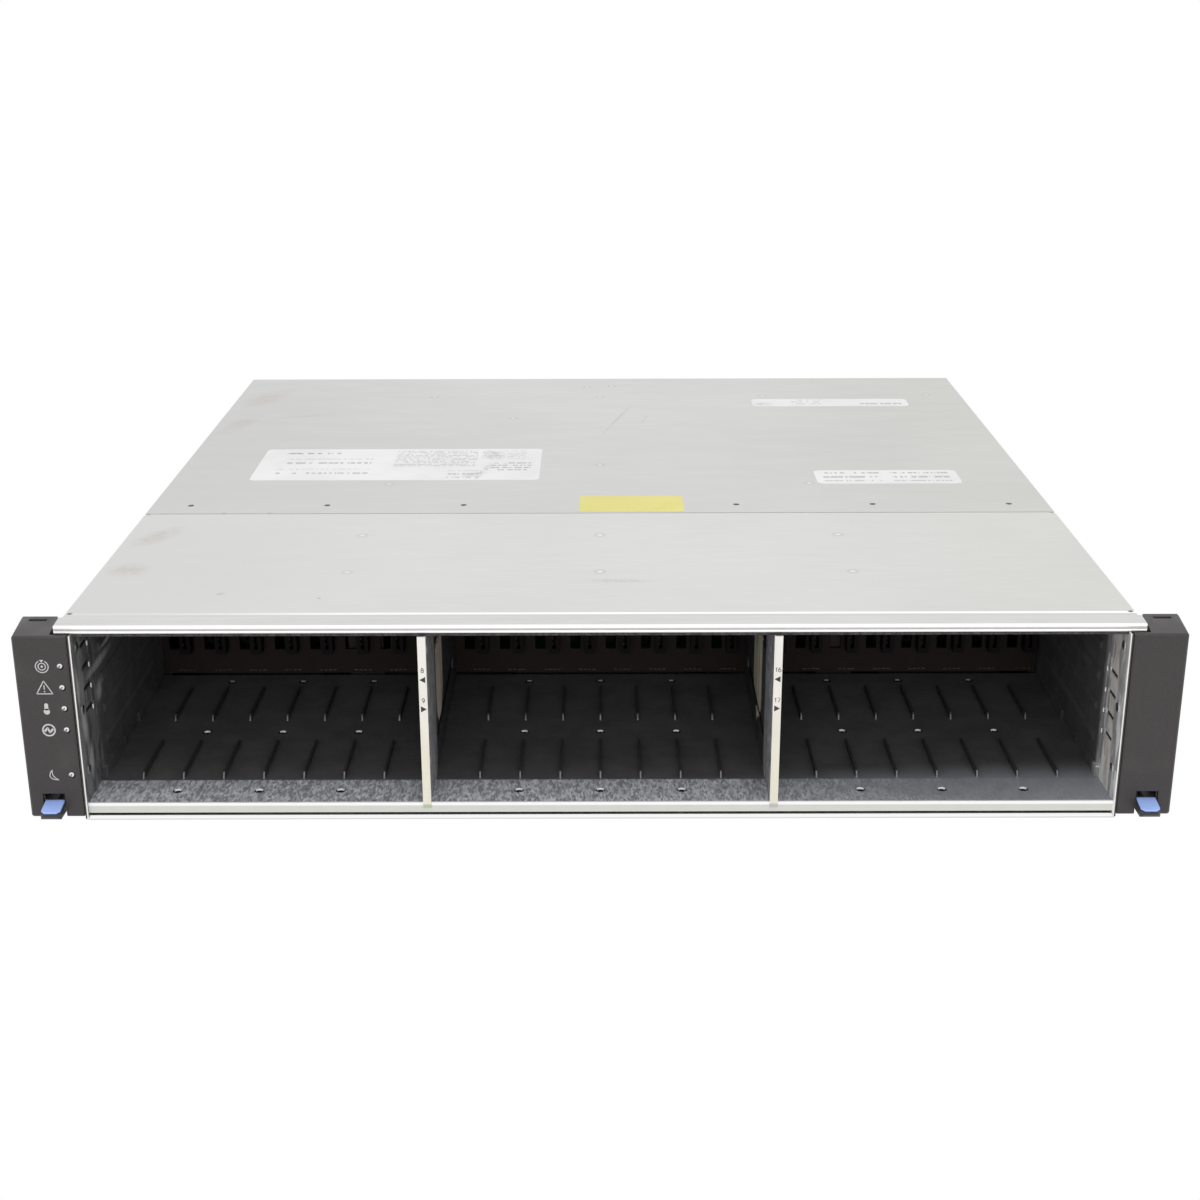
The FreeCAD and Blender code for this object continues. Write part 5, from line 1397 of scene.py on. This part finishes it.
# ------------------------------------------------------------------------ midplane
@dataclass
class Midplane:
    """Midplane board with its sockets and their gilt contacts.

    A bar is given by two corners about its own place; contact_zs are the lowest and highest
    contact and their number.
    """

    board_front: float = -80.0
    pad_offset: float = 2.2
    pad_xs: tuple[float, ...] = (-3.3, -1.1, 1.1, 3.3)
    pad: tuple[Corner, Corner] = ((-0.8, -0.3, 9.5), (0.8, 0.1, 10.1))
    socket_offset: float = 3.5
    contact_zs: tuple[float, float, int] = (26.0, 59.0, 12)
    contact: tuple[Corner, Corner] = ((-0.92, -7.6, -0.5), (-0.66, -3.4, 0.5))

    def bars(self, offset: float, bar: tuple[Corner, Corner], steps: Iterable[Point]) -> Surface:
        """Repeat a bar by steps in X and Z in every bay, from the board's face.

        Args:
            offset: from each bay's middle, along X.
            bar: low and high corners about the step.
            steps: distances in X and Z.
        Returns:
            All the bars as one surface.
        """
        surface = Surface()
        low, high = (np.array(corner) for corner in bar)
        for centre in SECTIONS:
            for i in range(BAYS):
                x = centre + (i - (BAYS - 1) / 2) * PITCH + offset
                for dx, z in steps:
                    at = np.array([x + dx, self.board_front, z])
                    surface.block(at + low, at + high)
        return surface

    def pads(self) -> None:
        """A row of tinned pads along the board's foot, four to each bay."""
        surface = self.bars(self.pad_offset, self.pad, [(x, 0.0) for x in self.pad_xs])
        Shop.add(surface.build("midplane_pads"), "shelf",
                 Plated("pad_tin", (0.22, 0.185, 0.165), 0.5), "circuit_board")

    def contacts(self) -> None:
        """A column of contact leaves inside each drive socket: short bars on an even pitch."""
        rises = [(0.0, z) for z in np.linspace(*self.contact_zs)]
        surface = self.bars(self.socket_offset, self.contact, rises)
        # The dark gilt is painted shade inside the sockets.
        Shop.add(surface.build("drive_socket_contacts"), "shelf",
                 Plated("socket_gilt", (0.16, 0.12, 0.07), 0.45), "connector_plastic")

    def build(self) -> None:
        """Dark board with a row of pads near its foot, black sockets, zinc bulkhead darkened as
        painted shade.
        """
        board = Board("midplane_mask", (0.026, 0.0195, 0.0195), gloss=0.1,
                      traces=0.08, stretch=(1, 1, 2))
        Shop.dress(board, "midplane_board")
        Shop.dress(Moulding("socket_black", (0.010, 0.008, 0.008), 0.5, specular=0.15),
                   "drive_connectors", "module_connectors")
        # The bulkhead's near-black zinc is painted shade.
        Shop.dress(SheetSteel("bulkhead_zinc", (0.035, 0.03, 0.03), 0.4, 0.6, crystals=0.12),
                   "midplane_carrier")
        self.contacts()
        self.pads()


# ------------------------------------------------------------------ shell and ears
@dataclass
class Body:
    """Folded shell, partitions, ears and fasteners."""

    half_shell: float = 221.4
    screws: tuple[Any, ...] = ("cover_screws", "cross_recess_screws", 0.45, 32, 14)
    rivets: tuple[Any, ...] = ("chassis_rivets", "domed_rivets", 0.0, 20, 7)

    def heads(self) -> None:
        """Screw heads with a cross recess, and plain rivet heads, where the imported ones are.

        A head faces away from the shell's side: outward outside it and inward inside it.
        """
        for node, name, recess, sides, rings in (self.screws, self.rivets):
            surface = Surface()
            for low, high in self.islands(node):
                centre, size = (low + high) / 2, high - low
                sense = np.sign(centre[0]) * np.sign(abs(centre[0]) - self.half_shell * MM)
                axis = np.array([sense, 0.0, 0.0])
                surface.dished(max(size[1:]) / 2, size[0], min(recess * MM, 0.6 * size[0]),
                               centre - axis * size[0] / 2, axis, sides, rings)
            Shop.add(surface.build(name, 50), Shop.body_of[node],
                     Plated(f"{name}_plate", (0.66, 0.66, 0.64), 0.3), "fastener_steel", [node])

    @staticmethod
    def islands(node: str) -> list[tuple[Array, Array]]:
        """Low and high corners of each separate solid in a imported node."""
        work = bmesh.new()
        work.from_mesh(frame["nodes"][node].data)
        bmesh.ops.remove_doubles(work, verts=work.verts, dist=1e-6)
        left, found = set(work.verts), []
        while left:
            stack, seen = [left.pop()], []
            while stack:
                vertex = stack.pop()
                seen.append(tuple(vertex.co))
                for edge in vertex.link_edges:
                    other = edge.other_vert(vertex)
                    if other in left:
                        left.discard(other)
                        stack.append(other)
            points = np.array(seen)
            found.append((points.min(0), points.max(0)))
        work.free()
        return found

    def build(self) -> None:
        """Dress the sheet metal and replace the fastener heads."""
        # The white band on the front hem is a painted highlight; the greyer band at its foot and
        # the pocket at the back of the cage floor are painted shade.
        shell = SheetSteel("shell_zinc", (0.62, 0.62, 0.61), clouds=0.05, grain=0.03, crystals=0.05,
                           marks=(Band(Axis.Y, -300.0, -224.6, (0.96, 0.96, 0.96)),
                                  Band(Axis.Z, -1.0, 0.5, (0.66, 0.66, 0.66)),
                                  Pocket((-216.0, -86.0, 0.9), (216.0, -56.0, 1.8))))
        inner = SheetSteel("partition_zinc", (0.55, 0.56, 0.56), clouds=0.05, crystals=0.12)
        Shop.dress(shell, "chassis_shell")
        Shop.dress(inner, "left_module_wall", "right_module_wall", "module_shelf")
        Shop.dress(SheetSteel("ear_zinc", (0.70, 0.68, 0.62), clouds=0.05, crystals=0.06),
                   "left_rack_flange", "right_rack_flange")
        self.heads()


# ------------------------------------------------------------------------ end caps
@dataclass
class EndCaps:
    """Moulded end caps, status lights and their symbols, latches and blue finger pads."""

    face: float = -227.0 * MM
    ink: float = 0.05
    lens_x: float = -220.4 * MM
    lens: tuple[float, ...] = (1.44, 0.75, 0.3, 7.25)
    lens_zs: tuple[float, ...] = (70.4, 61.0, 51.7, 42.2, 21.8)
    symbol_x: float = -227.4

    def lenses(self) -> None:
        """Clear pins with a domed end that stands a little out of the cap's face."""
        radius, rise, proud, length = (k * MM for k in self.lens)
        places = [(self.lens_x, self.face - proud + rise, z * MM) for z in self.lens_zs]
        surface = Surface().pins(places, radius, length, rise, (0, -1, 0), 20, 7)
        finish = Clear("lens_clear", (0.07, 0.07, 0.07), 0.1,
                       tuple((self.lens_x / MM, z) for z in self.lens_zs))
        Shop.add(surface.build("status_lenses", 60), Shop.body_of["status_light_pipes"], finish,
                 "light_pipe", ["status_light_pipes"])

    def symbols(self) -> None:
        """Locate rings, alert triangle, thermometer, ringed spark and moon, top to bottom."""
        surface = Surface()
        draw: list[Callable[[Pen], None]] = [self.rings, self.alert, self.thermometer,
                                             self.spark, self.moon]
        for shape, z in zip(draw, self.lens_zs):
            plane = Plane((self.symbol_x * MM, self.face, z * MM), (1, 0, 0), (0, 0, 1))
            shape(Pen(plane, self.ink, surface=surface))
        Shop.add(surface.build("status_symbols"), Shop.body_of["left_end_cap"],
                 Ink("symbol_ink", (0.62, 0.62, 0.62)), "cap_plastic")

    @staticmethod
    def rings(pen: Pen) -> None:
        """A pointer that drops through a gap in a circle, round a smaller circle and a spot."""
        pen.line(arc((0, 0), (2.6, 2.6), 118, 422, 34))
        pen.ring(1.5)
        pen.spot(loop((0, 0), (0.5, 0.5), 12))
        pen.spot([(-0.95, 2.9), (0.0, 1.9), (0.95, 2.9)])

    @staticmethod
    def alert(pen: Pen) -> None:
        """A triangle round a bar and a spot."""
        corners = [(-3.3, -2.6), (3.3, -2.6), (0.0, 3.1)]
        for i in range(3):
            pen.line([corners[i], corners[(i + 1) % 3]])
        pen.line([(0, 1.2), (0, -0.7)])
        pen.spot(loop((0, -1.6), (0.32, 0.32), 10))

    @staticmethod
    def thermometer(pen: Pen) -> None:
        """A filled bulb under a round-ended stem."""
        pen.spot(loop((0, -1.2), (1.3, 1.3), 18))
        pen.spot([*arc((0, 1.7), (0.8, 0.8), 0, 180, 9), (-0.8, -0.6), (0.8, -0.6)])

    @staticmethod
    def spark(pen: Pen) -> None:
        """A circle with a bold zigzag across it."""
        pen.ring(2.5, 0.62)
        zigzag = np.array([(-1.8, -0.6), (-0.5, 1.0), (0.4, -1.0), (1.8, 0.6)])
        t = np.linspace(0, 3, 19)
        pen.line(np.stack([np.interp(t, range(4), zigzag[:, k]) for k in (0, 1)], 1), 0.85)

    @staticmethod
    def moon(pen: Pen) -> None:
        """Two bows between the same tips: (1-t)^2 tip + 2t(1-t) bend + t^2 tail."""
        tip, tail = np.array([(-0.5, 2.5), (2.05, -2.2)])
        t = np.linspace(0, 1, 22)[:, None]
        for bend in ((-3.9, -2.05), (-1.35, -0.9)):
            pen.line((1 - t) ** 2 * tip + 2 * t * (1 - t) * np.array(bend) + t ** 2 * tail, 0.34)

    def build(self) -> None:
        """Round the mouldings' edges, then add lights and symbols."""
        grey: Colour = (0.046, 0.041, 0.0415)
        cap = Moulding("cap_moulding", grey, 0.46, 0.08, (0.075, 0.068, 0.066))
        black = Moulding("latch_moulding", (0.035, 0.036, 0.042), 0.42)
        blue = Moulding("pad_moulding", (0.38, 0.53, 1.0), 0.42, 0.04, (0.44, 0.58, 1.0))
        for side in Side:
            word = side.word
            Shop.soften(f"{word}_end_cap", f"{word}_cap_moulding", 0.45 * MM, cap, "cap_plastic")
            Shop.soften(f"{word}_cap_latch", f"{word}_latch_moulding", 0.5 * MM, black,
                        "latch_plastic")
            Shop.soften(f"{word}_latch_pad", f"{word}_finger_pad", 0.35 * MM, blue, "pad_plastic")
        Shop.dress(Board("status_board_mask", (0.03, 0.11, 0.05)), "status_led_board")
        self.lenses()
        self.symbols()


# -------------------------------------------------------------------- rear modules
@dataclass
class Lights:
    """Small domed lights in a module's face, sizes in millimetres."""

    radius: float
    rise: float
    sides: int
    shank: float = 1.4
    face: float = 227.6
    tint: Colour = (0.62, 0.72, 0.6)

    def add(self, name: str, material: str, body: str, places: Iterable[Point]) -> None:
        """Set a light at every X and Z, all as one piece, and let it ride on a body."""
        points = [(x * MM, self.face * MM, z * MM) for x, z in places]
        surface = Surface().pins(points, self.radius * MM, self.shank * MM, self.rise * MM,
                                 (0, 1, 0), self.sides)
        Shop.add(surface.build(name, 60), body, Clear(material, self.tint, 0.2), "light_pipe")


MODULE_STEEL: dict[str, Any] = {"clouds": 0.03, "grain": 0.03, "crystals": 0.03}
LEVER_WEAR: Colour = (0.2, 0.32, 0.76)
LEVER_BLUE: Colour = (0.10, 0.22, 0.70)
LEVER_EDGE = 0.8 * MM
BOARD_GREEN: Colour = (0.05, 0.17, 0.08)


@dataclass
class PowerModules:
    """Power supplies: pierced cases, fans, inlets, rockers and cam levers; in millimetres."""

    middle: float = 167.55
    # Span along Y of the painted shade on the case fronts, seen through the midplane.
    front: tuple[float, float] = (-80.0, -59.5)
    ink: float = 0.04
    marks: tuple[tuple[str, float], ...] = (("lower", 0.25), ("upper", 0.75))
    bar: tuple[float, float] = (1.6, 0.6)
    ring: tuple[float, float] = (1.5, 0.5)
    wall_low: Corner = (1.35, 3.0, 4.6)
    wall_high: Corner = (2.1, 18.1, 22.4)
    light_x: float = -4.0
    light_zs: tuple[float, ...] = (4.0, 9.6, 15.2, 20.8)
    board_top: float = 12.9

    def rocker_marks(self, side: Side) -> None:
        """The bar and ring of a switch, printed low and high on the rocker's flat front.

        The front runs from foot to head, the foremost corners of the rocker's two halves, and a
        mark stands at foot + share (head - foot).

        Args:
            side: which supply.
        """
        node = f"{side.word}_power_switch"
        low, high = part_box(node)
        x, z = (low[0] + high[0]) / 2, (low[2] + high[2]) / 2
        corners = np.array([v.co[:] for v in frame["nodes"][node].data.vertices])
        halves = (corners[corners[:, 2] < z - 1 * MM], corners[corners[:, 2] > z + 1 * MM])
        foot, head = (half[np.argmax(half[:, 1])] for half in halves)
        up = (head - foot) * (0.0, 1.0, 1.0)
        foot[0] = x
        for name, share in self.marks:
            plane = Plane(tuple(foot + share * up), (-1, 0, 0), tuple(up / np.linalg.norm(up)))
            pen = Pen(plane, self.ink)
            if name == "lower":
                half, width = self.bar
                pen.line([(0, -half), (0, half)], width)
            else:
                pen.ring(*self.ring)
            Shop.add(pen.surface.build(f"{side.word}_rocker_{name}_mark"), Shop.body_of[node],
                     Ink(f"{side.word}_{name}_mark_ink", (0.8, 0.8, 0.8)), "inlet_plastic")

    def socket_wall(self, side: Side) -> None:
        """The inlet's thin outer wall, between its flange and the back of its socket."""
        node = f"{side.word}_power_inlet"
        start = np.array(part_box(node)[0]) / MM
        surface = Surface().block(start + self.wall_low, start + self.wall_high)
        Shop.add(surface.build(f"{side.word}_inlet_socket_wall"), Shop.body_of[node],
                 Moulding(f"{side.word}_socket_wall_black", (0.02, 0.02, 0.022), 0.45),
                 "inlet_plastic")

    def lights(self, side: Side) -> None:
        """Four lights in a column beside the inlet."""
        x, _, z = np.array(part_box(f"{side.word}_power_inlet")[0]) / MM
        Lights(1.2, 0.45, 16).add(f"{side.word}_power_lights", f"{side.word}_power_light_clear",
                                  Shop.body_of[f"{side.word}_power_case"],
                                  [(x + self.light_x, z + up) for up in self.light_zs])

    def build(self) -> None:
        """Dress both supplies, round their mouldings and add lights and marks."""
        # The dark band at the cases' front is painted shade.
        steel = SheetSteel("power_case_zinc", (0.64, 0.65, 0.65),
                           marks=(Band(Axis.Y, *self.front, PAINTED_SHADE),), **MODULE_STEEL)
        fan = Moulding("fan_black", (0.026, 0.026, 0.028), 0.4)
        inlet = Moulding("inlet_black", (0.03, 0.03, 0.032), 0.38)
        lever = Moulding("lever_blue", LEVER_BLUE, 0.42, 0.05, LEVER_WEAR)
        for side in Side:
            word = f"{side.word}_power"
            Shop.dress(steel, f"{word}_case", f"{word}_cover")
            Shop.dress(fan, f"{word}_fan_frames", f"{word}_fan_a", f"{word}_fan_b")
            x = side.value * self.middle
            sink = ((x - 40.0, -54.0), (x - 2.0, 34.0))
            Shop.dress(Board(f"{word}_mask", BOARD_GREEN, self.board_top, sink=sink),
                       f"{word}_board")
            for part, name, edge in (("inlet", "inlet", 0.35), ("switch", "rocker", 0.3)):
                Shop.soften(f"{word}_{part}", f"{side.word}_{name}_moulding", edge * MM, inlet,
                            "inlet_plastic", 2)
            Shop.soften(f"{word}_lever", f"{word}_lever_moulding", LEVER_EDGE, lever,
                        "lever_plastic")
            self.rocker_marks(side)
            self.socket_wall(side)
            self.lights(side)


@dataclass
class IoModules:
    """I/O modules: cases, gangs of sockets with tongues and contacts, levers; in millimetres."""

    socket_xs: tuple[float, ...] = (-53.5, -32.5, -11.5, 9.5)
    jack_xs: tuple[float, ...] = (36.0, 52.0)
    light_xs: tuple[float, ...] = (70.0, 76.0, 82.0)
    gang_floor: float = 0.9
    blade: tuple[Corner, Corner] = ((-6.2, -17.0, 4.1), (6.2, -6.0, 5.3))
    leaf: tuple[Corner, Corner] = ((-0.25, -15.0, 5.3), (0.25, -6.4, 5.42))
    wire: tuple[Corner, Corner] = ((-0.2, -12.0, 7.4), (0.2, -3.0, 7.8))
    leaf_reach: float = 5.4
    wire_reach: float = 3.6
    leaves: int = 13
    wires: int = 8
    board_rise: float = 9.1
    sink: tuple[Point, Point] = ((-22.5, 59.5), (22.5, 104.5))

    def sockets(self, level: Level) -> None:
        """Contact tongues: a blade in each storage socket, a comb of wires in each network jack."""
        node = f"{level.value}_io_ports"
        low, high = np.array(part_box(node)) / MM
        blades, leaves = Surface(), Surface()

        def fit(surface: Surface, x: float, bar: tuple[Corner, Corner]) -> None:
            """Set a bar in the gang at x, measured from the gang's face and floor."""
            at = np.array([x, high[1], low[2] + self.gang_floor])
            surface.block(at + bar[0], at + bar[1])

        for x in self.socket_xs:
            fit(blades, x, self.blade)
            for k in np.linspace(-self.leaf_reach, self.leaf_reach, self.leaves):
                fit(leaves, x + k, self.leaf)
        for x in self.jack_xs:
            for k in np.linspace(-self.wire_reach, self.wire_reach, self.wires):
                fit(leaves, x + k, self.wire)
        word, body = level.value, Shop.body_of[node]
        Shop.add(blades.build(f"{word}_socket_blades"), body,
                 Moulding(f"{word}_blade_black", (0.03, 0.03, 0.03), 0.4), "connector_plastic")
        Shop.add(leaves.build(f"{word}_socket_leaves"), body,
                 Plated(f"{word}_leaf_gilt", (0.72, 0.55, 0.25), 0.28), "port_steel")

    def lights(self, level: Level) -> None:
        """A light over each storage socket and three beside the jacks."""
        low, high = np.array(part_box(f"{level.value}_io_ports")) / MM
        places = [(x, high[2] + 3.0) for x in self.socket_xs]
        places += [(x, low[2] + 5.0) for x in self.light_xs]
        Lights(0.9, 0.4, 14).add(f"{level.value}_io_lights", f"{level.value}_io_light_clear",
                                 Shop.body_of[f"{level.value}_io_case"], places)

    def build(self) -> None:
        """Dress both modules, round their levers and fit the sockets."""
        steel = SheetSteel("io_case_zinc", (0.64, 0.65, 0.66), **MODULE_STEEL)
        tinned = Plated("port_tin", (0.72, 0.73, 0.74), 0.28)
        lever = Moulding("io_lever_blue", LEVER_BLUE, 0.42, 0.05, LEVER_WEAR)
        for level in Level:
            word = f"{level.value}_io"
            Shop.dress(steel, f"{word}_case")
            Shop.dress(tinned, f"{word}_ports")
            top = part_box(f"{word}_case")[0][2] / MM + self.board_rise
            Shop.dress(Board(f"{word}_mask", BOARD_GREEN, top, sink=self.sink), f"{word}_board")
            for side in Side:
                Shop.soften(f"{word}_lever_{side.word}", f"{word}_lever_{side.word}_moulding",
                            LEVER_EDGE, lever, "lever_plastic")
            self.sockets(level)
            self.lights(level)


def main() -> None:
    """Build every sub-assembly in order."""
    logging.basicConfig(level=logging.INFO, format="%(name)s: %(message)s")
    Studio().build()
    for assembly in (Covers(), FrontRail(), DriveCage(), BayStrips(), Midplane(), Body(), EndCaps(),
                     PowerModules(), IoModules()):
        assembly.build()
        LOG.info("%s done", type(assembly).__name__)


if __name__ == "__main__":
    main()
